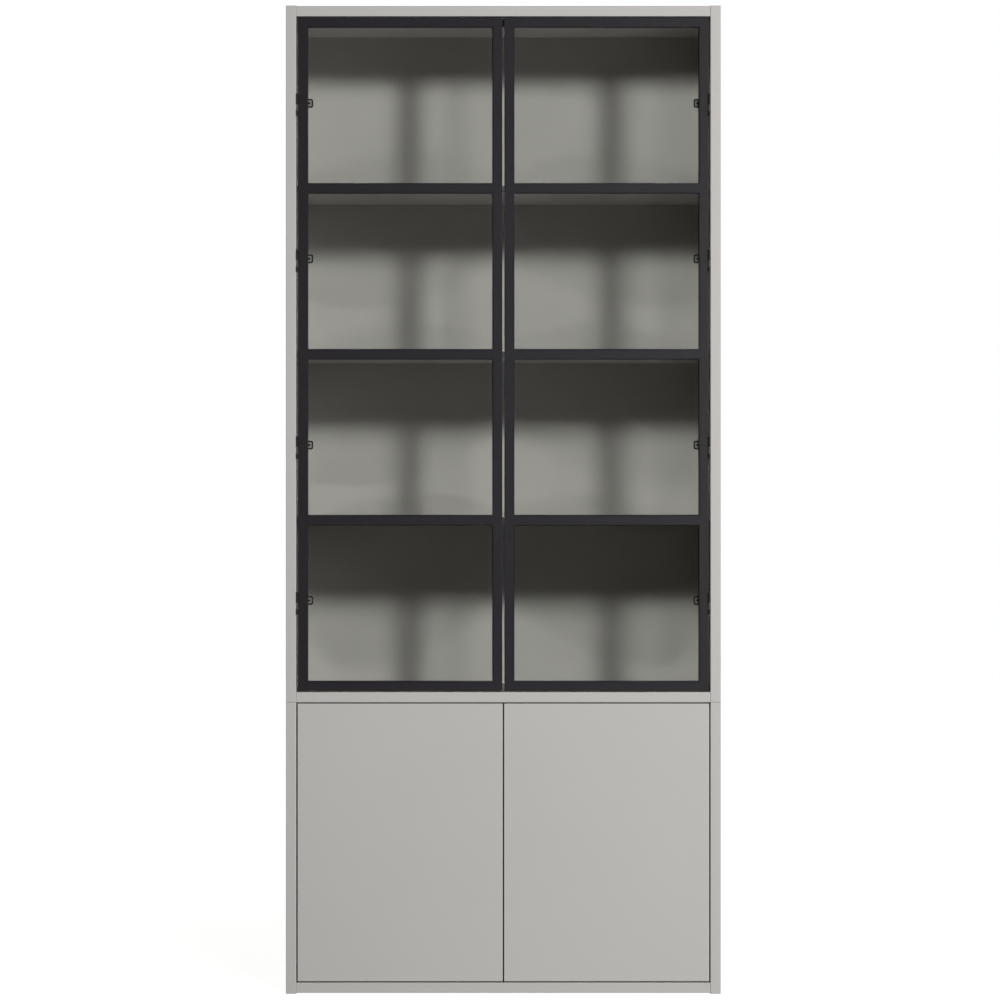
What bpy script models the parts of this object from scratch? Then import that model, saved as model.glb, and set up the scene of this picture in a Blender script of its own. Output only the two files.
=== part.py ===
"""Tall display cabinet: a glazed upper carcass standing on a closed base.

Metres, +Z up. The front faces -Y, and the origin is on the floor under the middle of the cabinet.
In the functions below, u runs from a side's inner face towards the middle of the cabinet, and v runs
from the front plane into it, so that one set of sizes serves the left side and the right side.
"""

import math

import bmesh
import bpy
from mathutils import Matrix, Vector

# Overall sizes
WIDTH = 0.924
HEIGHT = 2.100
DEPTH = 0.380
BASE_HEIGHT = 0.619

# Clearances
SEAT_GAP = 0.0003
RUNNING_GAP = 0.0005
RELIEF = 0.0004

# Boards of the two carcasses
SIDE_THICKNESS = 0.022
BOARD_THICKNESS = 0.022
BASE_TOP_THICKNESS = 0.018
BACK_THICKNESS = 0.005
BACK_REBATE = 0.009
SIDES_ABOVE_TOP = 0.001
SIDES_BELOW_BOTTOM = 0.002
EDGE_RADIUS = 0.0015
SHELF_THICKNESS = 0.012
SHELF_SETBACK = 0.025
BASE_SHELF_THICKNESS = 0.018
BASE_SHELF_SETBACK = 0.060
SHELF_HOUSING = 0.006

# Glazed doors
GLASS_DOOR_SIDE_GAP = 0.0038
GLASS_DOOR_END_GAP = 0.0025
GLASS_DOOR_MIDDLE_GAP = 0.0045
FRAME_FACE = 0.020
FRAME_DEPTH = 0.020
BAR_FACE = 0.020
BAR_DEPTH = 0.008
PANES = 4
GLASS_REBATE = 0.006
GLASS_THICKNESS = 0.004
BEAD_DEPTH = 0.007

# Butt hinges of the glazed doors
HINGE_FROM_END = 0.186
HINGE_SPACING = 0.331
HINGE_HEIGHT = 0.047
UPPER_KNUCKLE = 0.022
LOWER_KNUCKLE = 0.0105
HINGE_AXIS_INSET = 0.0009
BARREL_RADIUS = 0.0023
PIN_RADIUS = 0.0011
PIN_HEAD_RADIUS = 0.0019
PIN_HEAD_HEIGHT = 0.0012
COLLAR_HEIGHT = 0.0025
LEAF_THICKNESS = 0.001
CABINET_LEAF_DEPTH = 0.030
DOOR_LEAF_TOP = 0.015
TONGUE_HEIGHT = 0.019
TONGUE_REACH = 0.0113
TONGUE_RADIUS = 0.004

# Flush doors of the base
LOWER_DOOR_THICKNESS = 0.020
LOWER_DOOR_GAP = 0.0025

# Concealed hinges of the flush doors
CUP_HINGE_FROM_END = 0.090
CUP_RADIUS = 0.0127
CUP_WALL = 0.001
CUP_COVER = 0.0032
CUP_PIN_RADIUS = 0.0015
ARM_KNUCKLE_RADIUS = 0.003
ARM_KNUCKLE_GAP = 0.001
ARM_THICKNESS = 0.0032
ARM_HEIGHT = 0.012
ARM_BODY = 0.009
ARM_LENGTH = 0.045
FLANGE_THICKNESS = 0.0015
FLANGE_RIM = 0.0028
FLANGE_WIDTH = 0.016
FLANGE_HEIGHT = 0.052
PLATE_THICKNESS = 0.002
PLATE_HEIGHT = 0.044

# Push latches
LATCH_WIDTH = 0.044
LATCH_HEIGHT = 0.018
LATCH_LENGTH = 0.045
PLUNGER_RADIUS = 0.004
PLUNGER_PITCH = 0.026
PLUNGER_GRIP = 0.025
PLUNGER_TRAVEL = 0.004
PLUNGER_CHAMFER = 0.001

# Facets on the round pieces
ROUND_SIDES = 16
SMALL_SIDES = 12

LEFT = -1
RIGHT = 1
SIDES = {"left": LEFT, "right": RIGHT}

# Places worked out from the sizes above
HINGE_AXIS_PROUD = BARREL_RADIUS + SEAT_GAP
FRONT_Y = (HINGE_AXIS_PROUD + BARREL_RADIUS - DEPTH) / 2
INNER_WIDTH = WIDTH - 2 * SIDE_THICKNESS
BACK_FACE_V = DEPTH - BACK_THICKNESS
UPPER_BOTTOM_Z = BASE_HEIGHT + SEAT_GAP
MIDDLE_TOP_Z = UPPER_BOTTOM_Z + BOARD_THICKNESS
TOP_Z = HEIGHT - SIDES_ABOVE_TOP
TOP_UNDERSIDE_Z = TOP_Z - BOARD_THICKNESS
BOTTOM_TOP_Z = SIDES_BELOW_BOTTOM + BOARD_THICKNESS
BASE_TOP_UNDERSIDE_Z = BASE_HEIGHT - BASE_TOP_THICKNESS
BASE_SHELF_Z = (BOTTOM_TOP_Z + BASE_TOP_UNDERSIDE_Z - BASE_SHELF_THICKNESS) / 2

GLASS_DOOR_BOTTOM = MIDDLE_TOP_Z + GLASS_DOOR_END_GAP
GLASS_DOOR_TOP = TOP_UNDERSIDE_Z - GLASS_DOOR_END_GAP
GLASS_DOOR_EDGE_U = (INNER_WIDTH - GLASS_DOOR_MIDDLE_GAP) / 2
GLASS_AXIS_U = GLASS_DOOR_SIDE_GAP / 2 + HINGE_AXIS_INSET
GLASS_AXIS_V = -HINGE_AXIS_PROUD
WINDOW_HEIGHT = GLASS_DOOR_TOP - GLASS_DOOR_BOTTOM - 2 * FRAME_FACE
PANE_HEIGHT = (WINDOW_HEIGHT - (PANES - 1) * BAR_FACE) / PANES
GLASS_V = BAR_DEPTH + SEAT_GAP
BEAD_V = GLASS_V + GLASS_THICKNESS + SEAT_GAP

LOWER_DOOR_BOTTOM = BOTTOM_TOP_Z + LOWER_DOOR_GAP
LOWER_DOOR_TOP = UPPER_BOTTOM_Z - LOWER_DOOR_GAP
LOWER_DOOR_EDGE_U = (INNER_WIDTH - LOWER_DOOR_GAP) / 2

# The flush door's axis lies in its cup, just far enough in for the front corner to pass the side
CUP_FLOOR_V = CUP_COVER + SEAT_GAP + CUP_WALL
CUP_AXIS_V = CUP_FLOOR_V + ARM_KNUCKLE_GAP + ARM_KNUCKLE_RADIUS
SWING_GAP = LOWER_DOOR_GAP - RUNNING_GAP
CUP_AXIS_INSET = (CUP_AXIS_V**2 - SWING_GAP**2) / (2 * SWING_GAP)
CUP_AXIS_U = LOWER_DOOR_GAP + CUP_AXIS_INSET
FLANGE_V = LOWER_DOOR_THICKNESS + SEAT_GAP
FLANGE_BACK_V = FLANGE_V + FLANGE_THICKNESS
SWING_BACK_V = CUP_AXIS_V + math.hypot(CUP_AXIS_INSET, FLANGE_BACK_V - CUP_AXIS_V) + RUNNING_GAP

# Finishes: base colour, roughness, metallic
FINISHES = {
    "grey_lacquer": ((0.462, 0.445, 0.429), 0.42, 0.0),
    "back_panel_grey": ((0.440, 0.430, 0.405), 0.55, 0.0),
    "black_frame": ((0.022, 0.021, 0.024), 0.45, 0.3),
    "clear_glass": ((0.80, 0.85, 0.82), 0.03, 0.0),
    "black_rubber": ((0.015, 0.015, 0.015), 0.70, 0.0),
    "bright_steel": ((0.62, 0.62, 0.61), 0.30, 1.0),
    "latch_plastic": ((0.20, 0.20, 0.20), 0.50, 0.0),
}


def finish_material(finish):
    """Return the material of a finish, made the first time that it is asked for."""
    found = bpy.data.materials.get(finish)
    if found:
        return found
    colour, roughness, metallic = FINISHES[finish]
    material = bpy.data.materials.new(finish)
    material.use_nodes = True
    shader = material.node_tree.nodes["Principled BSDF"]
    shader.inputs["Base Color"].default_value = (*colour, 1.0)
    shader.inputs["Roughness"].default_value = roughness
    shader.inputs["Metallic"].default_value = metallic
    return material


def at(side, u, v, z):
    """Return the world point u from a side's inner face and v behind the front plane."""
    return Vector((side * (INNER_WIDTH / 2 - u), FRONT_Y + v, z))


def add_box(bm, corner, opposite):
    """Add a box between two opposite corners, in any order."""
    low = Vector(map(min, corner, opposite))
    high = Vector(map(max, corner, opposite))
    place = Matrix.LocRotScale((low + high) / 2, None, high - low)
    bmesh.ops.create_cube(bm, size=1.0, matrix=place)


def add_block(bm, side, u, v, z):
    """Add a box from its ranges in u, v and z."""
    add_box(bm, at(side, u[0], v[0], z[0]), at(side, u[1], v[1], z[1]))


def add_rod(bm, start, end, radius, sides=ROUND_SIDES):
    """Add a cylinder between two points."""
    along = end - start
    turn = Vector((0, 0, 1)).rotation_difference(along).to_matrix().to_4x4()
    place = Matrix.Translation((start + end) / 2) @ turn
    bmesh.ops.create_cone(
        bm, cap_ends=True, segments=sides, radius1=radius, radius2=radius, depth=along.length, matrix=place
    )


def add_skin(bm, rings):
    """Close a skin through rings of points and over both ends, and return its walls level by level."""
    rows = [[bm.verts.new(point) for point in ring] for ring in rings]
    walls = []
    for lower, upper in zip(rows, rows[1:]):
        corners = zip(lower, lower[1:] + lower[:1], upper[1:] + upper[:1], upper)
        walls.append([bm.faces.new(quad) for quad in corners])
    bm.faces.new(reversed(rows[0]))
    bm.faces.new(rows[-1])
    return walls


def add_turned(bm, start, direction, profile, sides=SMALL_SIDES):
    """Add a turned piece from (distance, radius) pairs along an axis."""
    turn = Vector((0, 0, 1)).rotation_difference(Vector(direction)).to_matrix().to_4x4()
    place = Matrix.Translation(start) @ turn
    angles = [math.tau * step / sides for step in range(sides)]
    rings = []
    for distance, radius in profile:
        rings.append([place @ Vector((radius * math.cos(a), radius * math.sin(a), distance)) for a in angles])
    add_skin(bm, rings)


def add_prism(bm, outline, shift):
    """Add the solid that a flat outline of points sweeps when it is moved by a shift."""
    add_skin(bm, [outline, [point + Vector(shift) for point in outline]])


def extrude_walls(bm, walls, shift):
    """Push some walls of a solid out by a shift, and return the points that moved."""
    grown = bmesh.ops.extrude_face_region(bm, geom=walls)["geom"]
    moved = [item for item in grown if isinstance(item, bmesh.types.BMVert)]
    bmesh.ops.translate(bm, verts=moved, vec=shift)
    bmesh.ops.delete(bm, geom=walls, context="FACES")
    return moved


def ease_edges(bm, chosen, radius=EDGE_RADIUS, segments=2):
    """Round the edges whose middle point is chosen."""
    edges = [e for e in bm.edges if chosen((e.verts[0].co + e.verts[1].co) / 2)]
    bmesh.ops.bevel(bm, geom=edges, offset=radius, segments=segments, profile=0.5, affect="EDGES")


def make(name, bm, finish, origin=(0, 0, 0), parent=None):
    """Turn a world-space mesh into a named object whose origin is at a given point."""
    bmesh.ops.recalc_face_normals(bm, faces=bm.faces)
    bmesh.ops.translate(bm, verts=bm.verts, vec=-Vector(origin))
    mesh = bpy.data.meshes.new(name)
    bm.to_mesh(mesh)
    bm.free()
    mesh.materials.append(finish_material(finish))
    obj = bpy.data.objects.new(name, mesh)
    bpy.context.collection.objects.link(obj)
    obj.location = Vector(origin)
    if parent:
        obj.parent = parent
        obj.location -= parent.location
    return obj


def combine(obj, tool_bm, operation):
    """Cut an object by a tool shape, or join the two."""
    tool = make(f"{obj.name}_tool", tool_bm, obj.data.materials[0].name)
    tool.hide_render = True
    tool.display_type = "WIRE"
    modifier = obj.modifiers.new(operation.title(), "BOOLEAN")
    modifier.operation = operation
    modifier.solver = "EXACT"
    modifier.object = tool


def shade_round(obj):
    """Shade a round piece smooth, with its corners kept sharp."""
    obj.data.shade_smooth()
    obj.data.set_sharp_from_angle(angle=math.radians(40))


def make_pivot(name, location):
    """Make the empty on a joint's axis that carries a moving assembly."""
    pivot = bpy.data.objects.new(name, None)
    pivot.location = location
    bpy.context.collection.objects.link(pivot)
    return pivot


def bar_middles():
    """Return the heights of the middles of the glazing bars, from the bottom up."""
    first = GLASS_DOOR_BOTTOM + FRAME_FACE + PANE_HEIGHT + BAR_FACE / 2
    return [first + count * (PANE_HEIGHT + BAR_FACE) for count in range(PANES - 1)]


def make_side(name, side, bottom, top, housings, setback, shelf_thickness, eased_end):
    """Make a side panel, rebated for its back panel and grooved for its shelves."""
    outer, inner = -SIDE_THICKNESS, 0.0
    rebate_u, rebate_v = -BACK_REBATE, BACK_FACE_V - SEAT_GAP
    plan = (
        (outer, 0.0), (inner, 0.0), (inner, rebate_v), (rebate_u, rebate_v), (rebate_u, DEPTH), (outer, DEPTH)
    )
    bm = bmesh.new()
    add_prism(bm, [at(side, u, v, bottom) for u, v in plan], (0, 0, top - bottom))
    front, end = FRONT_Y + EDGE_RADIUS, bottom if eased_end == "bottom" else top
    ease_edges(bm, lambda m: m.y < front and (bottom < m.z < top or abs(m.z - end) < SEAT_GAP))
    panel = make(name, bm, "grey_lacquer")
    grooves = bmesh.new()
    for z in housings:
        height = (z - SEAT_GAP, z + shelf_thickness + SEAT_GAP)
        run = (setback - SEAT_GAP, BACK_FACE_V)
        add_block(grooves, side, (-SHELF_HOUSING, SIDE_THICKNESS), run, height)
    combine(panel, grooves, "DIFFERENCE")


def make_board(name, front_v, back_v, bottom, thickness, end_u=SEAT_GAP, finish="grey_lacquer"):
    """Make a level board between the sides, with its front edges eased."""
    bm = bmesh.new()
    add_box(bm, at(LEFT, end_u, front_v, bottom), at(RIGHT, end_u, back_v, bottom + thickness))
    front = FRONT_Y + front_v + EDGE_RADIUS
    ease_edges(bm, lambda m: m.y < front and abs(m.x) < SIDE_THICKNESS)
    make(name, bm, finish)


def make_back(name, bottom, top):
    """Make a thin back panel in the rebates of the two sides."""
    bm = bmesh.new()
    end_u = SEAT_GAP - BACK_REBATE
    add_box(bm, at(LEFT, end_u, BACK_FACE_V, bottom), at(RIGHT, end_u, DEPTH, top))
    make(name, bm, "back_panel_grey")


def make_upper_carcass():
    """Make the glazed carcass: sides, top, middle board, back and three display shelves."""
    board_back = BACK_FACE_V - SEAT_GAP
    shelves = [middle - SHELF_THICKNESS / 2 for middle in bar_middles()]
    for word, side in SIDES.items():
        make_side(
            f"upper_side_{word}", side, UPPER_BOTTOM_Z, HEIGHT, shelves, SHELF_SETBACK, SHELF_THICKNESS, "top"
        )
    make_board("top_board", 0.0, board_back, TOP_UNDERSIDE_Z, BOARD_THICKNESS)
    make_board("middle_board", 0.0, board_back, UPPER_BOTTOM_Z, BOARD_THICKNESS)
    make_back("upper_back_panel", UPPER_BOTTOM_Z, TOP_Z)
    housed = SEAT_GAP - SHELF_HOUSING
    for word, z in zip(("lower", "middle", "upper"), shelves):
        make_board(f"shelf_{word}", SHELF_SETBACK, board_back, z, SHELF_THICKNESS, housed)


def make_base_carcass():
    """Make the closed base: sides, top panel behind the doors, bottom, back and one shelf."""
    board_back = BACK_FACE_V - SEAT_GAP
    for word, side in SIDES.items():
        make_side(
            f"lower_side_{word}", side, 0.0, BASE_HEIGHT, [BASE_SHELF_Z], BASE_SHELF_SETBACK,
            BASE_SHELF_THICKNESS, "bottom",
        )
    make_board("bottom_board", 0.0, board_back, SIDES_BELOW_BOTTOM, BOARD_THICKNESS)
    make_board("base_top_panel", SWING_BACK_V, board_back, BASE_TOP_UNDERSIDE_Z, BASE_TOP_THICKNESS)
    make_back("lower_back_panel", SIDES_BELOW_BOTTOM, BASE_HEIGHT)
    housed = SEAT_GAP - SHELF_HOUSING
    make_board("base_shelf", BASE_SHELF_SETBACK, board_back, BASE_SHELF_Z, BASE_SHELF_THICKNESS, housed)


def hinge_heights():
    """Return the heights of the middles of a glazed door's four hinges, from the top down."""
    top, bottom = GLASS_DOOR_TOP - HINGE_FROM_END, GLASS_DOOR_BOTTOM + HINGE_FROM_END
    return (top, top - HINGE_SPACING, bottom + HINGE_SPACING, bottom)


def make_glass_door(word, side):
    """Make a glazed door: its welded frame, one pane behind the bars and the bead that holds it."""
    axis = at(side, GLASS_AXIS_U, GLASS_AXIS_V, GLASS_DOOR_BOTTOM)
    pivot = make_pivot(f"glass_door_{word}_axis", axis)
    window_u = (GLASS_DOOR_SIDE_GAP + FRAME_FACE, GLASS_DOOR_EDGE_U - FRAME_FACE)
    window_z = (GLASS_DOOR_BOTTOM + FRAME_FACE, GLASS_DOOR_TOP - FRAME_FACE)

    def grown(span, margin):
        return (span[0] - margin, span[1] + margin)

    bm = bmesh.new()
    height = (GLASS_DOOR_BOTTOM, GLASS_DOOR_TOP)
    add_block(bm, side, (GLASS_DOOR_SIDE_GAP, GLASS_DOOR_EDGE_U), (0.0, FRAME_DEPTH), height)
    frame = make(f"glass_door_frame_{word}", bm, "black_frame", axis, pivot)
    openings = bmesh.new()
    for count in range(PANES):
        low = window_z[0] + count * (PANE_HEIGHT + BAR_FACE)
        add_block(openings, side, window_u, (-BAR_DEPTH, FRAME_DEPTH + BAR_DEPTH), (low, low + PANE_HEIGHT))
    mortise_u = (0.0, GLASS_DOOR_SIDE_GAP + LEAF_THICKNESS + SEAT_GAP)
    for z in hinge_heights():
        leaf_z = (z - HINGE_HEIGHT / 2 - SEAT_GAP, z + DOOR_LEAF_TOP + SEAT_GAP)
        add_block(openings, side, mortise_u, (-BAR_DEPTH, FRAME_DEPTH + BAR_DEPTH), leaf_z)
    combine(frame, openings, "DIFFERENCE")
    rebate = bmesh.new()
    rebate_v = (BAR_DEPTH, FRAME_DEPTH + BAR_DEPTH)
    add_block(rebate, side, grown(window_u, GLASS_REBATE), rebate_v, grown(window_z, GLASS_REBATE))
    combine(frame, rebate, "DIFFERENCE")

    fitted = GLASS_REBATE - SEAT_GAP
    glass_u, glass_z = grown(window_u, fitted), grown(window_z, fitted)
    bm = bmesh.new()
    add_block(bm, side, glass_u, (GLASS_V, GLASS_V + GLASS_THICKNESS), glass_z)
    make(f"glass_pane_{word}", bm, "clear_glass", axis, pivot)
    bm = bmesh.new()
    add_block(bm, side, glass_u, (BEAD_V, BEAD_V + BEAD_DEPTH), glass_z)
    bead = make(f"glazing_bead_{word}", bm, "black_rubber", axis, pivot)
    bm = bmesh.new()
    add_block(bm, side, window_u, (BEAD_V - BEAD_DEPTH, BEAD_V + 2 * BEAD_DEPTH), window_z)
    combine(bead, bm, "DIFFERENCE")
    return pivot


def make_cabinet_leaf(name, side, z):
    """Make the hinge leaf on the side panel, with the upper knuckle."""
    top = z + HINGE_HEIGHT / 2
    bottom = top - UPPER_KNUCKLE
    bm = bmesh.new()
    plate_u = (SEAT_GAP, SEAT_GAP + LEAF_THICKNESS)
    add_block(bm, side, plate_u, (GLASS_AXIS_V, CABINET_LEAF_DEPTH), (bottom + RELIEF, top - RELIEF))
    leaf = make(name, bm, "black_frame")
    add_knuckle(leaf, at(side, GLASS_AXIS_U, GLASS_AXIS_V, bottom), UPPER_KNUCKLE)


def make_door_leaf(name, side, z, pivot):
    """Make the hinge leaf that wraps round the back of the stile, with the lower knuckle and a tongue."""
    bottom, top = z - HINGE_HEIGHT / 2, z + DOOR_LEAF_TOP
    web_top, tongue_bottom = bottom + LOWER_KNUCKLE - RELIEF, top - TONGUE_HEIGHT
    edge_u, stile_u = GLASS_DOOR_SIDE_GAP, GLASS_DOOR_SIDE_GAP + FRAME_FACE
    fold_u = edge_u + LEAF_THICKNESS
    back_v = FRAME_DEPTH + SEAT_GAP
    rear_v = back_v + LEAF_THICKNESS
    plan = ((edge_u, 0), (fold_u, 0), (fold_u, back_v), (stile_u, back_v), (stile_u, rear_v), (edge_u, rear_v))
    levels = sorted({bottom + RELIEF, web_top, tongue_bottom, top})
    bm = bmesh.new()
    walls = add_skin(bm, [[at(side, u, v, level) for u, v in plan] for level in levels])
    front_wall, stile_wall = 0, 3
    web = [row[front_wall] for row, level in zip(walls, levels) if level < web_top]
    tongue = [row[stile_wall] for row, level in zip(walls, levels) if level >= tongue_bottom]
    extrude_walls(bm, web, (0, -HINGE_AXIS_PROUD, 0))
    tip = extrude_walls(bm, tongue, (-side * TONGUE_REACH, 0, 0))
    corners = [e for e in bm.edges if set(e.verts) <= set(tip) and e.verts[0].co.z == e.verts[1].co.z]
    ends = [e for e in corners if e.verts[0].co.z in (min(v.co.z for v in tip), max(v.co.z for v in tip))]
    bmesh.ops.bevel(bm, geom=ends, offset=TONGUE_RADIUS, segments=3, profile=0.5, affect="EDGES")
    leaf = make(name, bm, "black_frame", pivot.location, pivot)
    add_knuckle(leaf, at(side, GLASS_AXIS_U, GLASS_AXIS_V, bottom), LOWER_KNUCKLE)


def add_knuckle(leaf, low, height):
    """Join a barrel to a hinge leaf and bore it for the pin."""
    high = low + Vector((0, 0, height))
    barrel = bmesh.new()
    add_rod(barrel, low, high, BARREL_RADIUS)
    combine(leaf, barrel, "UNION")
    bore = bmesh.new()
    past = Vector((0, 0, BARREL_RADIUS))
    add_rod(bore, low - past, high + past, PIN_RADIUS + SEAT_GAP, SMALL_SIDES)
    combine(leaf, bore, "DIFFERENCE")


def make_hinge_pin(name, side, z):
    """Make a hinge pin with two heads and the collar that the door's weight turns on."""
    half = HINGE_HEIGHT / 2 + SEAT_GAP
    collar = LOWER_KNUCKLE - HINGE_HEIGHT / 2 + SEAT_GAP
    profile = (
        (-half - PIN_HEAD_HEIGHT, PIN_HEAD_RADIUS), (-half, PIN_HEAD_RADIUS), (-half, PIN_RADIUS),
        (collar, PIN_RADIUS), (collar, BARREL_RADIUS),
        (collar + COLLAR_HEIGHT, BARREL_RADIUS), (collar + COLLAR_HEIGHT, PIN_RADIUS),
        (half, PIN_RADIUS), (half, PIN_HEAD_RADIUS), (half + PIN_HEAD_HEIGHT, PIN_HEAD_RADIUS),
    )
    axis = at(side, GLASS_AXIS_U, GLASS_AXIS_V, z)
    bm = bmesh.new()
    add_turned(bm, axis, (0, 0, 1), profile)
    shade_round(make(name, bm, "bright_steel", axis))


def make_lower_door(word, side):
    """Make a flush door, bored and slotted at the back for its two concealed hinges."""
    axis = at(side, CUP_AXIS_U, CUP_AXIS_V, LOWER_DOOR_BOTTOM)
    pivot = make_pivot(f"lower_door_{word}_axis", axis)
    bm = bmesh.new()
    height = (LOWER_DOOR_BOTTOM, LOWER_DOOR_TOP)
    add_block(bm, side, (LOWER_DOOR_GAP, LOWER_DOOR_EDGE_U), (0.0, LOWER_DOOR_THICKNESS), height)
    ease_edges(bm, lambda m: True)
    door = make(f"lower_door_panel_{word}", bm, "grey_lacquer", axis, pivot)
    bores, slots = bmesh.new(), bmesh.new()
    past_v = 2 * LOWER_DOOR_THICKNESS
    slot_half = ARM_HEIGHT / 2 + RUNNING_GAP
    for z in cup_hinge_heights().values():
        start, end = at(side, CUP_AXIS_U, CUP_COVER, z), at(side, CUP_AXIS_U, past_v, z)
        add_rod(bores, start, end, CUP_RADIUS + SEAT_GAP, 2 * ROUND_SIDES)
        slot_v = (CUP_COVER + SEAT_GAP, past_v)
        add_block(slots, side, (0.0, CUP_AXIS_U), slot_v, (z - slot_half, z + slot_half))
    combine(door, bores, "DIFFERENCE")
    combine(door, slots, "DIFFERENCE")
    return pivot


def cup_hinge_heights():
    """Return the heights of the middles of a flush door's two hinges."""
    return {"top": LOWER_DOOR_TOP - CUP_HINGE_FROM_END, "bottom": LOWER_DOOR_BOTTOM + CUP_HINGE_FROM_END}


def flange_outline():
    """Return the flange's outline about the cup's middle: a disc with a wing above and one below."""
    half_width, half_height = FLANGE_WIDTH / 2, FLANGE_HEIGHT / 2
    radius = CUP_RADIUS + FLANGE_RIM
    first = math.acos(half_width / radius)
    arc = [first - 2 * first * step / ROUND_SIDES for step in range(ROUND_SIDES + 1)]
    right = [(half_width, half_height)] + [(radius * math.cos(a), radius * math.sin(a)) for a in arc]
    return right + [(half_width, -half_height)] + [(-x, -y) for x, y in right] + [(-half_width, half_height)]


def make_hinge_cup(name, side, z, pivot):
    """Make the cup in the door: flange, well open towards the door's edge, and the pin across it."""
    def rod(start_v, end_v, radius):
        bm = bmesh.new()
        start, end = at(side, CUP_AXIS_U, start_v, z), at(side, CUP_AXIS_U, end_v, z)
        add_rod(bm, start, end, radius, 2 * ROUND_SIDES)
        return bm

    flange = bmesh.new()
    outline = [at(side, CUP_AXIS_U + across, FLANGE_V, z + up) for across, up in flange_outline()]
    add_prism(flange, outline, (0, FLANGE_THICKNESS, 0))
    cup = make(name, flange, "bright_steel", pivot.location, pivot)
    combine(cup, rod(CUP_COVER + SEAT_GAP, FLANGE_V + FLANGE_THICKNESS / 2, CUP_RADIUS), "UNION")
    combine(cup, rod(CUP_FLOOR_V, 2 * FLANGE_BACK_V, CUP_RADIUS - CUP_WALL), "DIFFERENCE")
    slot = bmesh.new()
    slot_half = ARM_HEIGHT / 2 + RUNNING_GAP
    slot_u = (CUP_AXIS_U - 2 * CUP_RADIUS, CUP_AXIS_U)
    slot_v = (CUP_FLOOR_V + SEAT_GAP, 2 * FLANGE_BACK_V)
    add_block(slot, side, slot_u, slot_v, (z - slot_half, z + slot_half))
    combine(cup, slot, "DIFFERENCE")
    pin = bmesh.new()
    reach = CUP_RADIUS - CUP_WALL / 2
    low, high = at(side, CUP_AXIS_U, CUP_AXIS_V, z - reach), at(side, CUP_AXIS_U, CUP_AXIS_V, z + reach)
    add_rod(pin, low, high, CUP_PIN_RADIUS, SMALL_SIDES)
    combine(cup, pin, "UNION")


def make_hinge_arm(name, side, z):
    """Make the hinge arm: a knuckle on the cup's pin, a cranked arm and its plate on the side panel."""
    half = ARM_THICKNESS / 2
    plate_face = SEAT_GAP + PLATE_THICKNESS
    seat = SEAT_GAP + PLATE_THICKNESS / 2
    rear = SWING_BACK_V + ARM_LENGTH
    plan = (
        (CUP_AXIS_U + half, CUP_AXIS_V), (CUP_AXIS_U + half, SWING_BACK_V + ARM_THICKNESS),
        (ARM_BODY, SWING_BACK_V + CUP_AXIS_U), (ARM_BODY, rear), (seat, rear),
        (seat, SWING_BACK_V + ARM_BODY), (CUP_AXIS_U - half, SWING_BACK_V), (CUP_AXIS_U - half, CUP_AXIS_V),
    )
    low, high = z - ARM_HEIGHT / 2, z + ARM_HEIGHT / 2
    bm = bmesh.new()
    add_prism(bm, [at(side, u, v, low + RELIEF) for u, v in plan], (0, 0, ARM_HEIGHT - 2 * RELIEF))
    arm = make(name, bm, "bright_steel")
    plate = bmesh.new()
    plate_v = (SWING_BACK_V + ARM_BODY / 2, rear + ARM_BODY / 2)
    add_block(plate, side, (SEAT_GAP, plate_face), plate_v, (z - PLATE_HEIGHT / 2, z + PLATE_HEIGHT / 2))
    combine(arm, plate, "UNION")
    start, end = at(side, CUP_AXIS_U, CUP_AXIS_V, low), at(side, CUP_AXIS_U, CUP_AXIS_V, high)
    knuckle, bore = bmesh.new(), bmesh.new()
    add_rod(knuckle, start, end, ARM_KNUCKLE_RADIUS)
    combine(arm, knuckle, "UNION")
    past = Vector((0, 0, ARM_KNUCKLE_RADIUS))
    add_rod(bore, start - past, end + past, CUP_PIN_RADIUS + SEAT_GAP, SMALL_SIDES)
    combine(arm, bore, "DIFFERENCE")


def make_push_latch(level, ceiling_z, door_back_v, front_v):
    """Make a twin push latch under a board: its housing and one plunger for each door."""
    top = ceiling_z - SEAT_GAP
    middle = top - LATCH_HEIGHT / 2
    bm = bmesh.new()
    corner = Vector((-LATCH_WIDTH / 2, FRONT_Y + front_v, top - LATCH_HEIGHT))
    add_box(bm, corner, corner + Vector((LATCH_WIDTH, LATCH_LENGTH, LATCH_HEIGHT)))
    housing = make(f"{level}_latch_housing", bm, "latch_plastic")
    bores = bmesh.new()
    depth = PLUNGER_GRIP + PLUNGER_TRAVEL + SEAT_GAP
    tip_v = door_back_v + SEAT_GAP
    length = front_v + PLUNGER_GRIP - tip_v
    profile = (
        (0.0, PLUNGER_RADIUS - PLUNGER_CHAMFER), (PLUNGER_CHAMFER, PLUNGER_RADIUS), (length, PLUNGER_RADIUS)
    )
    for word, side in SIDES.items():
        x = side * PLUNGER_PITCH / 2
        start = Vector((x, FRONT_Y + front_v - PLUNGER_GRIP, middle))
        end = Vector((x, FRONT_Y + front_v + depth, middle))
        add_rod(bores, start, end, PLUNGER_RADIUS + SEAT_GAP)
        tip = Vector((x, FRONT_Y + tip_v, middle))
        plunger = bmesh.new()
        add_turned(plunger, tip, (0, 1, 0), profile, ROUND_SIDES)
        shade_round(make(f"{level}_latch_plunger_{word}", plunger, "latch_plastic", tip))
    combine(housing, bores, "DIFFERENCE")


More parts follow.
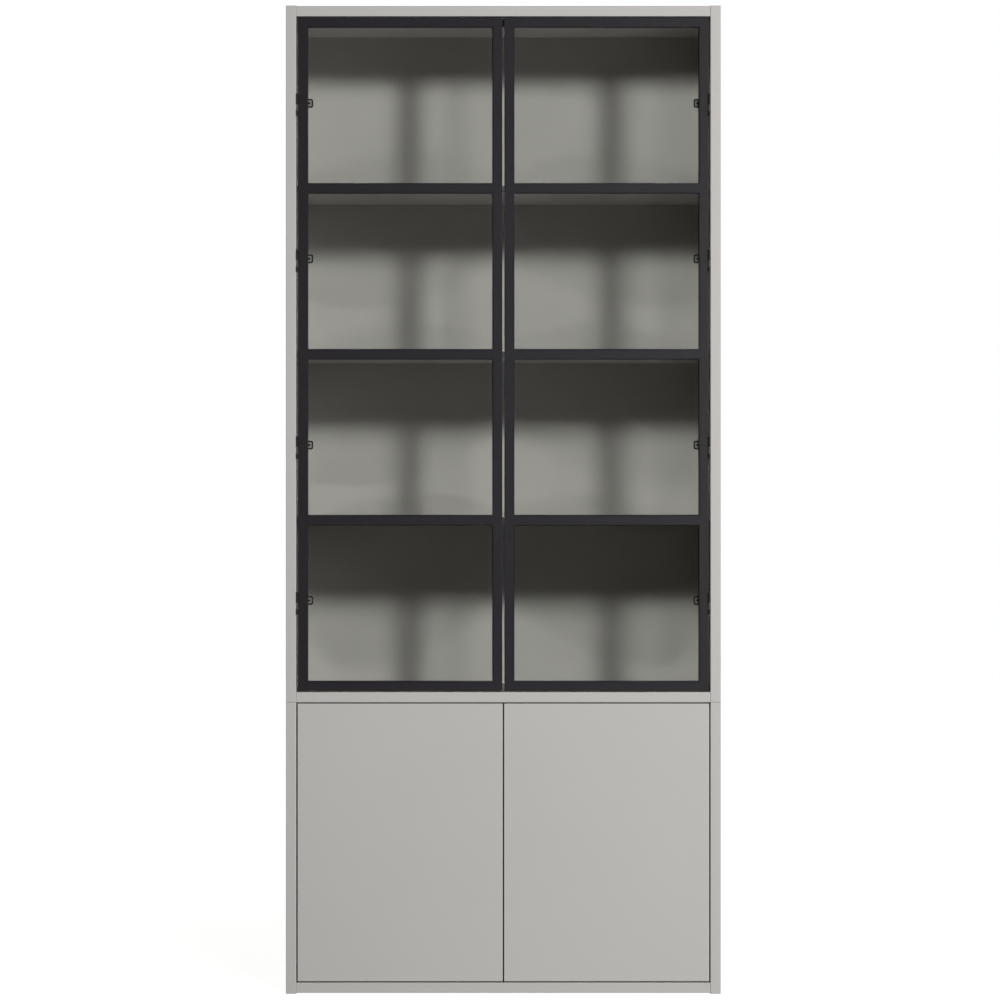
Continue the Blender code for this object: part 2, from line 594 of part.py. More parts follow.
def main():
    """Make the whole cabinet."""
    for old in list(bpy.data.objects):
        bpy.data.objects.remove(old, do_unlink=True)
    make_upper_carcass()
    make_base_carcass()
    for word, side in SIDES.items():
        glass_pivot = make_glass_door(word, side)
        for number, z in enumerate(hinge_heights(), start=1):
            make_cabinet_leaf(f"glass_hinge_{word}_{number}_cabinet_leaf", side, z)
            make_door_leaf(f"glass_hinge_{word}_{number}_door_leaf", side, z, glass_pivot)
            make_hinge_pin(f"glass_hinge_{word}_{number}_pin", side, z)
        lower_pivot = make_lower_door(word, side)
        for level, z in cup_hinge_heights().items():
            make_hinge_cup(f"cup_hinge_{word}_{level}_cup", side, z, lower_pivot)
            make_hinge_arm(f"cup_hinge_{word}_{level}_arm", side, z)
    make_push_latch("upper", TOP_UNDERSIDE_Z, FRAME_DEPTH, SHELF_SETBACK)
    make_push_latch("lower", BASE_TOP_UNDERSIDE_Z, LOWER_DOOR_THICKNESS, SWING_BACK_V)


main()
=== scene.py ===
"""Looks of a tall display cabinet: glazed black-framed doors over a closed base with flush doors.

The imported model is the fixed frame. This script gives its boards, glass and metal their finishes, puts
finely finished copies in place of the frames and fittings, adds screws, seals and plates, and lights it.
"""

import logging
import math
from dataclasses import dataclass, field
from enum import Enum
from typing import Sequence

import bmesh
import bpy
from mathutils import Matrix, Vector


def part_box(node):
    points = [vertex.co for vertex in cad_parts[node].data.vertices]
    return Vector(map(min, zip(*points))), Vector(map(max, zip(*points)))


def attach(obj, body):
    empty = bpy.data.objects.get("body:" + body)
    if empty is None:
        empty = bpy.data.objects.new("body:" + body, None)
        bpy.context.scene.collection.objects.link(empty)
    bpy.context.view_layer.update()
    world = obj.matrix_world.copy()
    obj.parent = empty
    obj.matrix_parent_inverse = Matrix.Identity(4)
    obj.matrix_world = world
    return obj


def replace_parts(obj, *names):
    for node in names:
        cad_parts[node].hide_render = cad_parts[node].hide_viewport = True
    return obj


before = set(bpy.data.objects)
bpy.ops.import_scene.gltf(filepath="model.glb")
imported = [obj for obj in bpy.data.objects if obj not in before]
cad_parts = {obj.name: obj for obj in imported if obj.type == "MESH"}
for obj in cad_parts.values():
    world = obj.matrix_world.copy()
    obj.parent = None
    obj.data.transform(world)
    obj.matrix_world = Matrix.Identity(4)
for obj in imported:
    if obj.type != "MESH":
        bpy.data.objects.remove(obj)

LOG = logging.getLogger("display_cabinet")
CABINET = "cabinet"
Colour = tuple[float, float, float]
Point = Vector | Colour
Box = tuple[Vector, Vector]
Socket = bpy.types.NodeSocket
Sockets = bpy.types.NodeOutputs
Object = bpy.types.Object
Material = bpy.types.Material
NO_BOX: Box = (Vector(), Vector())
WHITE = (1.0, 1.0, 1.0, 1.0)
FORWARD = Vector((0.0, -1.0, 0.0))
BACKWARD = Vector((0.0, 1.0, 0.0))
DOWNWARD = Vector((0.0, 0.0, -1.0))


class Side(Enum):
    """The cabinet's left or right half, as the sign of X."""

    LEFT = -1
    RIGHT = 1

    @property
    def word(self) -> str:
        """Return the side's name as it stands in node names."""
        return self.name.lower()


class Level(Enum):
    """The upper or lower push latch."""

    UPPER = "upper"
    LOWER = "lower"


class NodeSheet:
    """A node tree with short ways to add nodes and to join them."""

    def __init__(self, tree: bpy.types.NodeTree) -> None:
        """Keep the tree that the nodes go into."""
        self.tree = tree

    def feed(self, socket: Socket, value: object) -> None:
        """Link a socket to another one, or set its plain value.

        Args:
            socket: The input to feed.
            value: An output socket, or a number, colour or vector.
        """
        if isinstance(value, Socket):
            self.tree.links.new(value, socket)
        else:
            socket.default_value = value

    def add(self, kind: str, inputs: dict | None = None, **settings: object) -> bpy.types.Node:
        """Add a node.

        Args:
            kind: The node's type name.
            inputs: Values or sockets by input name or number.
            **settings: Properties of the node itself.

        Returns:
            The new node.
        """
        node = self.tree.nodes.new(kind)
        for name, value in settings.items():
            setattr(node, name, value)
        for name, value in (inputs or {}).items():
            self.feed(node.inputs[name], value)
        return node

    def math(self, operation: str, *values: object) -> Socket:
        """Add a Math node and return its result."""
        node = self.add("ShaderNodeMath", dict(enumerate(values)), operation=operation)
        return node.outputs[0]

    def vector(self, operation: str, *values: object) -> Socket:
        """Add a Vector Math node and return its vector."""
        node = self.add("ShaderNodeVectorMath", dict(enumerate(values)), operation=operation)
        return node.outputs[0]

    def noise(self, place: object, scale: float, detail: float = 2.0) -> Socket:
        """Add a noise texture.

        Args:
            place: The socket with the coordinates.
            scale: Waves in a metre.
            detail: Number of finer layers.

        Returns:
            The grey value, from 0 to 1.
        """
        inputs = {"Vector": place, "Scale": scale, "Detail": detail}
        return self.add("ShaderNodeTexNoise", inputs).outputs[0]

    def stretch(self, place: object, scale: Sequence[float]) -> Socket:
        """Scale coordinates along each axis and return them."""
        return self.add("ShaderNodeMapping", {"Vector": place, "Scale": scale}).outputs[0]

    def spread(self, value: object, low: float, high: float) -> Socket:
        """Map a value from 0..1 to low..high and return it."""
        return self.add("ShaderNodeMapRange", {"Value": value, "To Min": low, "To Max": high}).outputs[0]

    def tint(self, factor: object, first: object, second: object) -> Socket:
        """Mix two colours.

        Args:
            factor: The second colour's share.
            first: The first colour.
            second: The second colour.

        Returns:
            The mixed colour.
        """
        node = self.add("ShaderNodeMix", {"Factor": factor}, data_type="RGBA")
        colours = [socket for socket in node.inputs if socket.type == "RGBA"]
        self.feed(colours[0], first)
        self.feed(colours[1], second)
        return next(socket for socket in node.outputs if socket.type == "RGBA")

    def shade(self, colour: object, value: object) -> Socket:
        """Scale a colour's brightness by a value and return the colour."""
        node = self.add("ShaderNodeHueSaturation", {"Value": value, "Color": colour})
        return node.outputs["Color"]


# Shared node groups

FLOAT, COLOUR, VECTOR = "NodeSocketFloat", "NodeSocketColor", "NodeSocketVector"
COUNT, GEOMETRY, MATERIAL = "NodeSocketInt", "NodeSocketGeometry", "NodeSocketMaterial"


class SharedGroup:
    """A node group that is built once, with named inputs and outputs."""

    kind: str = "ShaderNodeTree"
    name: str = ""
    inputs: dict[str, str] = {}
    outputs: dict[str, str] = {}

    def draw(self, sheet: NodeSheet, source: Sockets) -> dict[str, Socket]:
        """Draw the group's nodes.

        Args:
            sheet: The group's own tree.
            source: The group's inputs.

        Returns:
            What feeds each of the group's outputs.
        """
        raise NotImplementedError

    def group(self) -> bpy.types.NodeTree:
        """Give the node group, built the first time that it is asked for.

        Returns:
            The node group.
        """
        found = bpy.data.node_groups.get(self.name)
        if found:
            return found
        tree = bpy.data.node_groups.new(self.name, self.kind)
        for way, sockets in (("INPUT", self.inputs), ("OUTPUT", self.outputs)):
            for label, kind in sockets.items():
                tree.interface.new_socket(label, in_out=way, socket_type=kind)
        sheet = NodeSheet(tree)
        source = sheet.add("NodeGroupInput").outputs
        sink = sheet.add("NodeGroupOutput").inputs
        for label, value in self.draw(sheet, source).items():
            sheet.feed(sink[label], value)
        return tree


class Effect(SharedGroup):
    """A surface effect that materials share."""

    def place(self, sheet: NodeSheet, values: dict[str, object]) -> Sockets:
        """Put the group into a material.

        Args:
            sheet: The material's tree.
            values: What feeds each of the group's inputs.

        Returns:
            The group node's outputs.
        """
        node = sheet.add("ShaderNodeGroup", None, node_tree=self.group())
        for label, value in values.items():
            sheet.feed(node.inputs[label], value)
        return node.outputs


@dataclass(frozen=True)
class Waves:
    """A noise and the range that it is spread over."""

    scale: float
    detail: float
    low: float
    high: float
    stretch: Colour | None = None

    def draw(self, sheet: NodeSheet, place: Socket) -> Socket:
        """Draw the noise, spread over its range.

        Args:
            sheet: The tree to draw in.
            place: The coordinates.

        Returns:
            The spread value.
        """
        if self.stretch:
            place = sheet.stretch(place, self.stretch)
        return sheet.spread(sheet.noise(place, self.scale, self.detail), self.low, self.high)


class Coat(Effect):
    """A surface whose colour and sheen vary a little, with a relief of its own."""

    inputs = {"Place": VECTOR, "Colour": COLOUR, "Roughness": FLOAT}
    outputs = {"Colour": COLOUR, "Roughness": FLOAT, "Height": FLOAT}
    tones: tuple[Waves, Waves]
    sheen: Waves

    def relief(self, sheet: NodeSheet, source: Sockets) -> Socket:
        """Draw the height of the surface's fine relief and return it."""
        raise NotImplementedError

    def draw(self, sheet: NodeSheet, source: Sockets) -> dict[str, Socket]:
        """Draw the tone, the sheen and the relief.

        Args:
            sheet: The group's own tree.
            source: The group's inputs.

        Returns:
            What feeds each of the group's outputs.
        """
        place = source["Place"]
        tone = sheet.math("ADD", *(waves.draw(sheet, place) for waves in self.tones))
        return {
            "Colour": sheet.shade(source["Colour"], tone),
            "Roughness": sheet.math("ADD", source["Roughness"], self.sheen.draw(sheet, place)),
            "Height": self.relief(sheet, source),
        }


class SprayedLacquer(Coat):
    """Satin lacquer: a faint cloudiness, a fine orange peel and an uneven sheen."""

    name = "sprayed_lacquer"
    tones = (Waves(2.6, 3.0, 0.968, 1.026), Waves(420.0, 2.0, -0.012, 0.012))
    sheen = Waves(38.0, 4.0, -0.07, 0.07)

    def relief(self, sheet: NodeSheet, source: Sockets) -> Socket:
        """Draw the orange peel and return its height."""
        return sheet.noise(source["Place"], scale=700.0, detail=1.0)


class PowderGrain(Coat):
    """Powder coat: a fine pebbled skin with paler flecks."""

    name = "powder_grain"
    inputs = {**Coat.inputs, "Grain": FLOAT}
    tones = (Waves(9.0, 3.0, 0.86, 1.14), Waves(900.0, 1.0, -0.16, 0.16))
    sheen = Waves(60.0, 3.0, -0.06, 0.06)

    def relief(self, sheet: NodeSheet, source: Sockets) -> Socket:
        """Draw the pebbles and return their height."""
        cells = sheet.add("ShaderNodeTexVoronoi", {"Vector": source["Place"], "Scale": source["Grain"]})
        return sheet.math("SUBTRACT", 1.0, cells.outputs["Distance"])


class DrawnMetal(Coat):
    """Drawn or ground metal: fine streaks along Z."""

    name = "drawn_metal"
    fine: Colour = (2400.0, 2400.0, 90.0)
    tones = (Waves(1.0, 3.0, 0.90, 1.08, fine), Waves(45.0, 3.0, -0.05, 0.05))
    sheen = Waves(1.0, 3.0, -0.07, 0.10, fine)

    def relief(self, sheet: NodeSheet, source: Sockets) -> Socket:
        """Draw the streaks and return their height."""
        return sheet.noise(sheet.stretch(source["Place"], self.fine), scale=1.0, detail=3.0)


class PaintedEdgeHighlight(Effect):
    """A mask along the edges of a box, broken up in patches, where a paler colour is painted on as a
    highlight.
    """

    name = "painted_edge_highlight"
    inputs = {"Place": VECTOR, "Low": VECTOR, "High": VECTOR, "Width": FLOAT}
    outputs = {"Mask": FLOAT}
    patches: Waves = Waves(55.0, 5.0, 0.15, 1.0)

    def draw(self, sheet: NodeSheet, source: Sockets) -> dict[str, Socket]:
        """Draw the nearness to each pair of faces, and the mask where two of them meet.

        Args:
            sheet: The group's own tree.
            source: The group's inputs.

        Returns:
            What feeds each of the group's outputs.
        """
        place = source["Place"]
        low = sheet.vector("SUBTRACT", place, source["Low"])
        high = sheet.vector("SUBTRACT", source["High"], place)
        apart = sheet.add("ShaderNodeSeparateXYZ", {0: sheet.vector("MINIMUM", low, high)}).outputs
        near = []
        for distance in apart:
            share = sheet.math("DIVIDE", distance, source["Width"])
            near.append(sheet.add("ShaderNodeClamp", {0: sheet.math("SUBTRACT", 1.0, share)}).outputs[0])
        pairs = [sheet.math("MULTIPLY", near[a], near[b]) for a, b in ((0, 1), (1, 2), (0, 2))]
        edge = sheet.math("MAXIMUM", sheet.math("MAXIMUM", pairs[0], pairs[1]), pairs[2])
        return {"Mask": sheet.math("MULTIPLY", edge, self.patches.draw(sheet, place))}


# Finishes

BUMP_STRENGTH = 0.35


@dataclass(frozen=True)
class Canvas:
    """What a finish is painted on: a material's tree, its coordinates and shader, and the piece's box."""

    sheet: NodeSheet
    place: Socket
    shader: bpy.types.Node
    box: Box


@dataclass(frozen=True)
class Finish:
    """A finish: its name, the slot it belongs to, its colour and its sheen."""

    name: str
    slot: str
    colour: Colour
    roughness: float

    def paint(self, canvas: Canvas) -> None:
        """Draw the finish's nodes into a material."""
        raise NotImplementedError

    def grained(self, canvas: Canvas, effect: Effect, relief: float, **extra: float) -> Sockets:
        """Feed colour, roughness and bump from an effect.

        Args:
            canvas: What the finish is painted on.
            effect: The shared effect.
            relief: The bump's depth in metres.
            **extra: Further inputs of the effect.

        Returns:
            The effect's outputs.
        """
        sheet, inputs = canvas.sheet, canvas.shader.inputs
        values = {"Place": canvas.place, "Colour": (*self.colour, 1.0), "Roughness": self.roughness}
        made = effect.place(sheet, {**values, **extra})
        sheet.feed(inputs["Base Color"], made["Colour"])
        sheet.feed(inputs["Roughness"], made["Roughness"])
        bump = {"Strength": BUMP_STRENGTH, "Distance": relief, "Height": made["Height"]}
        sheet.feed(inputs["Normal"], sheet.add("ShaderNodeBump", bump).outputs["Normal"])
        return made

    def material(self, box: Box, label: str) -> Material:
        """Return this finish as a material for one piece or one group of pieces.

        Args:
            box: The lowest and highest corner of the piece.
            label: What is added to the finish's name.

        Returns:
            The material, made the first time that it is asked for.
        """
        name = f"{self.name}_on_{label}" if label else f"{self.name}_finish"
        found = bpy.data.materials.get(name)
        if found:
            return found
        material = bpy.data.materials.new(name)
        material.use_nodes = True
        sheet = NodeSheet(material.node_tree)
        place = sheet.add("ShaderNodeTexCoord").outputs["Object"]
        self.paint(Canvas(sheet, place, material.node_tree.nodes["Principled BSDF"], box))
        return material


@dataclass(frozen=True)
class Lacquer(Finish):
    """Sprayed satin lacquer on board, with a painted highlight: a little paler along the edges."""

    gloss: float = 0.2
    peel: float = 0.0001
    # A paler colour painted along the edges as a highlight, broken up in patches.
    highlight_width: float = 0.0035
    highlight_strength: float = 0.4
    highlight_colour: Colour = (0.56, 0.545, 0.53)

    def paint(self, canvas: Canvas) -> None:
        """Draw the lacquer and the highlight painted along its edges.

        Args:
            canvas: What it is painted on.
        """
        sheet, (low, high) = canvas.sheet, canvas.box
        canvas.shader.inputs["Specular IOR Level"].default_value = self.gloss
        made = self.grained(canvas, SprayedLacquer(), self.peel)
        values = {"Place": canvas.place, "Low": low, "High": high, "Width": self.highlight_width}
        # Painted highlight: the paler colour is tinted in along the edges.
        edge_highlight = PaintedEdgeHighlight().place(sheet, values)
        faint = sheet.math("MULTIPLY", edge_highlight["Mask"], self.highlight_strength)
        colour = sheet.tint(faint, made["Colour"], (*self.highlight_colour, 1.0))
        sheet.feed(canvas.shader.inputs["Base Color"], colour)


@dataclass(frozen=True)
class Fibreboard(Finish):
    """Thin painted fibreboard: matt, with a faint felted tooth."""

    gloss: float = 0.3
    tooth: float = 0.00025

    def paint(self, canvas: Canvas) -> None:
        """Draw the matt paint."""
        self.grained(canvas, SprayedLacquer(), self.tooth)
        canvas.shader.inputs["Specular IOR Level"].default_value = self.gloss


@dataclass(frozen=True)
class PowderCoat(Finish):
    """Powder-coated metal."""

    grain: float = 1100.0
    gloss: float = 0.13
    pebble: float = 0.00012

    def paint(self, canvas: Canvas) -> None:
        """Draw the pebbled coat."""
        self.grained(canvas, PowderGrain(), self.pebble, Grain=self.grain)
        canvas.shader.inputs["Specular IOR Level"].default_value = self.gloss


@dataclass(frozen=True)
class PlatedSteel(Finish):
    """Plated steel with fine drawing streaks."""

    streak: float = 0.00004

    def paint(self, canvas: Canvas) -> None:
        """Draw the streaked metal."""
        self.grained(canvas, DrawnMetal(), self.streak)
        canvas.shader.inputs["Metallic"].default_value = 1.0


@dataclass(frozen=True)
class FloatGlass(Finish):
    """Clear float glass with a faint green cast, which lets the lamps through."""

    cast: Colour = (0.975, 0.982, 0.973)
    clear: Colour = (0.92, 0.92, 0.915)
    ior: float = 1.5
    drift_scale: float = 1.7

    def paint(self, canvas: Canvas) -> None:
        """Draw the glass, with a barely uneven cast.

        Args:
            canvas: What it is painted on.
        """
        sheet, shader = canvas.sheet, canvas.shader
        drift = sheet.noise(canvas.place, self.drift_scale)
        sheet.feed(shader.inputs["Base Color"], sheet.tint(drift, (*self.colour, 1.0), (*self.cast, 1.0)))
        shader.inputs["Roughness"].default_value = self.roughness
        shader.inputs["IOR"].default_value = self.ior
        shader.inputs["Transmission Weight"].default_value = 1.0
        clear = sheet.add("ShaderNodeBsdfTransparent", {"Color": (*self.clear, 1.0)})
        path = sheet.add("ShaderNodeLightPath").outputs
        lamps = sheet.math("MAXIMUM", path["Is Shadow Ray"], path["Is Diffuse Ray"])
        mix = sheet.add("ShaderNodeMixShader", {0: lamps, 1: shader.outputs[0], 2: clear.outputs[0]})
        sheet.feed(sheet.tree.nodes["Material Output"].inputs["Surface"], mix.outputs[0])


GREY = Lacquer("grey_lacquer", "grey_lacquer", (0.458, 0.446, 0.434), 0.52)
DOOR_GREY = Lacquer("door_lacquer", "door_lacquer", (0.458, 0.446, 0.434), 0.52)
# The back panel's colour is darker than the grey lacquer, partly as painted shade of the inside behind the
# glass.
BACK = Fibreboard("back_panel", "back_panel", (0.345, 0.339, 0.315), 0.60)
FRAME_BLACK = PowderCoat("black_frame", "black_frame", (0.0149, 0.0134, 0.0169), 0.42, gloss=0.09)
HINGE_BLACK = PowderCoat("black_hinge", "black_hinge", (0.0095, 0.0092, 0.0098), 0.42, grain=1600.0)
GLASS = FloatGlass("clear_glass", "clear_glass", (0.990, 0.992, 0.988), 0.0)
SEAL_BLACK = PowderCoat("glazing_rubber", "glazing_rubber", (0.009, 0.009, 0.009), 0.62, grain=2200.0)
STEEL = PlatedSteel("bright_steel", "bright_steel", (0.62, 0.62, 0.61), 0.30)
ZINC = PowderCoat("passivated_zinc", "bright_steel", (0.215, 0.21, 0.198), 0.45, grain=1500.0)
PIN_STEEL = PowderCoat("dull_pin_steel", "bright_steel", (0.082, 0.080, 0.080), 0.45, grain=1500.0)
LATCH_GREY = PowderCoat("latch_plastic", "latch_plastic", (0.20, 0.20, 0.20), 0.50, grain=1900.0)
PLUNGER_GREY = PowderCoat("plunger_plastic", "plunger_plastic", (0.30, 0.30, 0.30), 0.45, grain=1900.0)


# Meshes


@dataclass(frozen=True)
class Spot:
    """A place on a surface and the way that the surface faces there."""

    place: Vector
    facing: Vector


class Workshop:
    """Ways to make a finished mesh object and to set it on a body; angles are in degrees."""

    merge_distance: float = 1e-5
    flat_angle: float = 0.5
    smooth_angle: float = 38.0
    bevel_angle: float = 40.0

    @staticmethod
    def shown(name: str, mesh: bpy.types.Mesh) -> Object:
        """Put a mesh into the scene as an object at the origin.

        Args:
            name: The object's name.
            mesh: Its mesh.

        Returns:
            The object.
        """
        obj = bpy.data.objects.new(name, mesh)
        bpy.context.scene.collection.objects.link(obj)
        return obj

    @staticmethod
    def settled(obj: Object) -> Object:
        """Turn an object with modifiers into a plain mesh.

        Args:
            obj: The object with its modifiers.

        Returns:
            The same object, with the finished mesh and no modifier.
        """
        graph = bpy.context.evaluated_depsgraph_get()
        mesh = bpy.data.meshes.new_from_object(obj.evaluated_get(graph), depsgraph=graph)
        mesh.name = obj.name
        obj.modifiers.clear()
        obj.data = mesh
        return obj

    @classmethod
    def smoothed(cls, obj: Object) -> None:
        """Shade an object smooth, with its sharp corners kept."""
        obj.data.shade_smooth()
        obj.data.set_sharp_from_angle(angle=math.radians(cls.smooth_angle))

    @classmethod
    def node_copy(cls, node: str, name: str) -> Object:
        """Copy a node's mesh into a new object, with its flat triangles merged.

        Args:
            node: The node's name.
            name: The new object's name.

        Returns:
            The new object.
        """
        bm = bmesh.new()
        bm.from_mesh(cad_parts[node].data)
        bmesh.ops.remove_doubles(bm, verts=bm.verts, dist=cls.merge_distance)
        flat = math.radians(cls.flat_angle)
        bmesh.ops.dissolve_limit(bm, angle_limit=flat, verts=bm.verts, edges=bm.edges)
        return cls.from_bmesh(bm, name)

    @classmethod
    def from_bmesh(cls, bm: bmesh.types.BMesh, name: str) -> Object:
        """Show a built mesh as an object, and free what it was built in.

        Args:
            bm: The built mesh.
            name: The object's name.

        Returns:
            The object.
        """
        mesh = bpy.data.meshes.new(name)
        bm.to_mesh(mesh)
        bm.free()
        return cls.shown(name, mesh)

    @classmethod
    def eased(cls, obj: Object, width: float, segments: int = 2) -> Object:
        """Round an object's sharp edges.

        Args:
            obj: The object.
            width: The bevel's width in metres.
            segments: The bevel's number of faces.

        Returns:
            The same object, with a finished mesh.
        """
        bevel = obj.modifiers.new("eased", "BEVEL")
        bevel.width = width
        bevel.segments = segments
        bevel.limit_method = "ANGLE"
        bevel.angle_limit = math.radians(cls.bevel_angle)
        bevel.harden_normals = True
        cls.smoothed(obj)
        return cls.settled(obj)

    @staticmethod
    def finish_piece(obj: Object, body: str, finish: Finish, label: str = "") -> Object:
        """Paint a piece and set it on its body.

        Args:
            obj: The piece.
            body: The body it moves with.
            finish: Its finish.
            label: What is added to the material's name.

        Returns:
            The piece.
        """
        corners = [Vector(corner) for corner in obj.bound_box]
        box = (Vector(map(min, *corners)), Vector(map(max, *corners)))
        obj.data.materials.clear()
        obj.data.materials.append(finish.material(box, label))
        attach(obj, body)
        LOG.info("piece %s on %s, %d faces", obj.name, body, len(obj.data.polygons))
        return obj

    @classmethod
    def stand_in(cls, node: str, name: str, body: str, finish: Finish, width: float,
                 segments: int = 2) -> None:
        """Make a copy of a node with rounded edges, which takes its place.

        Args:
            node: The node's name.
            name: The copy's name.
            body: The body it moves with.
            finish: Its finish.
            width: The bevel's width in metres.
            segments: The bevel's number of faces.
        """
        piece = cls.eased(cls.node_copy(node, name), width, segments)
        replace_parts(cls.finish_piece(piece, body, finish), node)

    @staticmethod
    def dress_node(node: str, finish: Finish, label: str = "") -> None:
        """Give a node of the model its finish.

        Args:
            node: The node's name.
            finish: Its finish.
            label: What is added to the material's name.
        """
        material = finish.material(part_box(node), label)
        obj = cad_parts[node]
        if not obj.material_slots:
            obj.data.materials.append(material)
        for slot in obj.material_slots:
            slot.material = material
        LOG.info("node %s in %s", node, finish.name)


# Geometry node trees


class PatternTree(SharedGroup):
    """A geometry node tree that repeats a shape on points."""

    kind = "GeometryNodeTree"
    outputs = {"Geometry": GEOMETRY}

    @staticmethod
    def repeated(sheet: NodeSheet, source: Sockets, shape: dict[str, Socket]) -> dict[str, Socket]:
        """Set a shape on each point, realize it and give it its material.

        Args:
            sheet: The tree.
            source: The tree's inputs.
            shape: The shape and its turn, by their names on the instancing node.

        Returns:
            What feeds the tree's output.
        """
        placed = sheet.add("GeometryNodeInstanceOnPoints", {"Points": source["Geometry"], **shape})
        realized = sheet.add("GeometryNodeRealizeInstances", {0: placed.outputs[0]})
        given = {"Geometry": realized.outputs[0], "Material": source["Material"]}
        return {"Geometry": sheet.add("GeometryNodeSetMaterial", given).outputs[0]}

    def make(self, name: str, spots: Sequence[Spot], values: dict[str, object], finish: Finish,
             body: str) -> None:
        """Run the tree over some spots, and keep the result as a piece with a plain mesh.

        Args:
            name: The new piece's name.
            spots: Where the tree repeats its shape.
            values: The tree's inputs by name.
            finish: The piece's finish.
            body: The body it moves with.
        """
        mesh = bpy.data.meshes.new(name)
        mesh.from_pydata([spot.place for spot in spots], [], [])
        facing = mesh.attributes.new("facing", "FLOAT_VECTOR", "POINT")
        for item, spot in zip(facing.data, spots):
            item.vector = spot.facing
        obj = Workshop.shown(name, mesh)
        modifier = obj.modifiers.new(self.name, "NODES")
        modifier.node_group = self.group()
        given = {**values, "Material": finish.material(NO_BOX, "")}
        for item in modifier.node_group.interface.items_tree:
            if item.in_out == "INPUT" and item.name in given:
                modifier[item.identifier] = given[item.name]
        Workshop.smoothed(Workshop.settled(obj))
        Workshop.finish_piece(obj, body, finish)


class ScrewHeads(PatternTree):
    """Cross-recessed screw heads on points, each turned at random about its own axis."""

    name = "screw_heads"
    inputs = {
        "Geometry": GEOMETRY, "Head Radius": FLOAT, "Head Height": FLOAT, "Top Share": FLOAT,
        "Slot Width": FLOAT, "Slot Depth": FLOAT, "Seed": COUNT, "Material": MATERIAL,
    }
    sides: int = 20
    slot_reach: float = 1.15

    def draw(self, sheet: NodeSheet, source: Sockets) -> dict[str, Socket]:
        """Draw one head with its cross recess, and set it on each point.

        Args:
            sheet: The tree.
            source: The tree's inputs.

        Returns:
            What feeds the tree's output.
        """
        radius, height = source["Head Radius"], source["Head Height"]
        top = sheet.math("MULTIPLY", radius, source["Top Share"])
        cone = {"Vertices": self.sides, "Radius Top": top, "Radius Bottom": radius, "Depth": height}
        head = sheet.add("GeometryNodeMeshCone", cone)
        reach = sheet.math("MULTIPLY", radius, self.slot_reach)
        deep = sheet.math("MULTIPLY", source["Slot Depth"], 2.0)
        lift = sheet.add("ShaderNodeCombineXYZ", {"Z": height})
        bars = sheet.add("GeometryNodeJoinGeometry")
        for along, across in (("X", "Y"), ("Y", "X")):
            lengths = {along: reach, across: source["Slot Width"], "Z": deep}
            size = sheet.add("ShaderNodeCombineXYZ", lengths)
            bar = sheet.add("GeometryNodeMeshCube", {"Size": size.outputs[0]})
            moved = {"Geometry": bar.outputs[0], "Translation": lift.outputs[0]}
            sheet.feed(bars.inputs[0], sheet.add("GeometryNodeTransform", moved).outputs[0])
        solids = {"Mesh 1": head.outputs["Mesh"], "Mesh 2": bars.outputs[0]}
        cut = sheet.add("GeometryNodeMeshBoolean", solids, operation="DIFFERENCE", solver="EXACT")
        cut.inputs["Self Intersection"].default_value = True
        spin = sheet.add("FunctionNodeRandomValue", {"Seed": source["Seed"]}, data_type="FLOAT")
        angle = sheet.math("MULTIPLY", spin.outputs[1], math.tau)
        about = sheet.add("FunctionNodeAxisAngleToRotation", {"Axis": (0.0, 0.0, 1.0), "Angle": angle})
        named = sheet.add("GeometryNodeInputNamedAttribute", {"Name": "facing"}, data_type="FLOAT_VECTOR")
        facing = sheet.add("FunctionNodeAlignRotationToVector", {"Vector": named.outputs[0]}, axis="Z")
        turns = {0: facing.outputs[0], 1: about.outputs[0]}
        turned = sheet.add("FunctionNodeRotateRotation", turns, rotation_space="LOCAL")
        return self.repeated(sheet, source, {"Instance": cut.outputs[0], "Rotation": turned.outputs[0]})


class SealRings(PatternTree):
    """Thin seals that follow the rectangle of each light of a door."""

    name = "seal_rings"
    inputs = {
        "Geometry": GEOMETRY, "Width": FLOAT, "Height": FLOAT, "Corner": FLOAT, "Radius": FLOAT,
        "Material": MATERIAL,
    }
    corner_points: int = 3
    sides: int = 8

    def draw(self, sheet: NodeSheet, source: Sockets) -> dict[str, Socket]:
        """Draw one seal along its rectangle, and stand it on each point.

        Args:
            sheet: The tree.
            source: The tree's inputs.

        Returns:
            What feeds the tree's output.
        """
        lengths = {"Width": source["Width"], "Height": source["Height"]}
        path = sheet.add("GeometryNodeCurvePrimitiveQuadrilateral", lengths)
        corner = {"Curve": path.outputs[0], "Radius": source["Corner"]}
        rounded = sheet.add("GeometryNodeFilletCurve", corner, mode="POLY")
        rounded.inputs["Count"].default_value = self.corner_points
        circle = {"Resolution": self.sides, "Radius": source["Radius"]}
        profile = sheet.add("GeometryNodeCurvePrimitiveCircle", circle)
        curves = {"Curve": rounded.outputs[0], "Profile Curve": profile.outputs[0]}
        tube = sheet.add("GeometryNodeCurveToMesh", curves)
        upright = {"Geometry": tube.outputs[0], "Rotation": (math.pi / 2, 0.0, 0.0)}
        stood = sheet.add("GeometryNodeTransform", upright)
        return self.repeated(sheet, source, {"Instance": stood.outputs[0]})


@dataclass(frozen=True)
class ScrewSize:
    """A screw head's radius and height in metres, and its other sizes as shares of them."""

    radius: float
    height: float
    top_share: float = 0.72
    slot_share: float = 0.22
    depth_share: float = 0.6

    def make(self, name: str, spots: Sequence[Spot], finish: Finish, body: str, seed: int) -> None:
        """Set screws of this size on spots of one body.

        Args:
            name: The new piece's name.
            spots: Where the heads sit.
            finish: The heads' finish.
            body: The body they move with.
            seed: The seed of their turns.
        """
        values = {
            "Head Radius": self.radius, "Head Height": self.height, "Top Share": self.top_share,
            "Slot Width": self.radius * self.slot_share * 2, "Slot Depth": self.height * self.depth_share,
            "Seed": seed,
        }
        ScrewHeads().make(name, spots, values, finish, body)


# The cabinet's own pieces


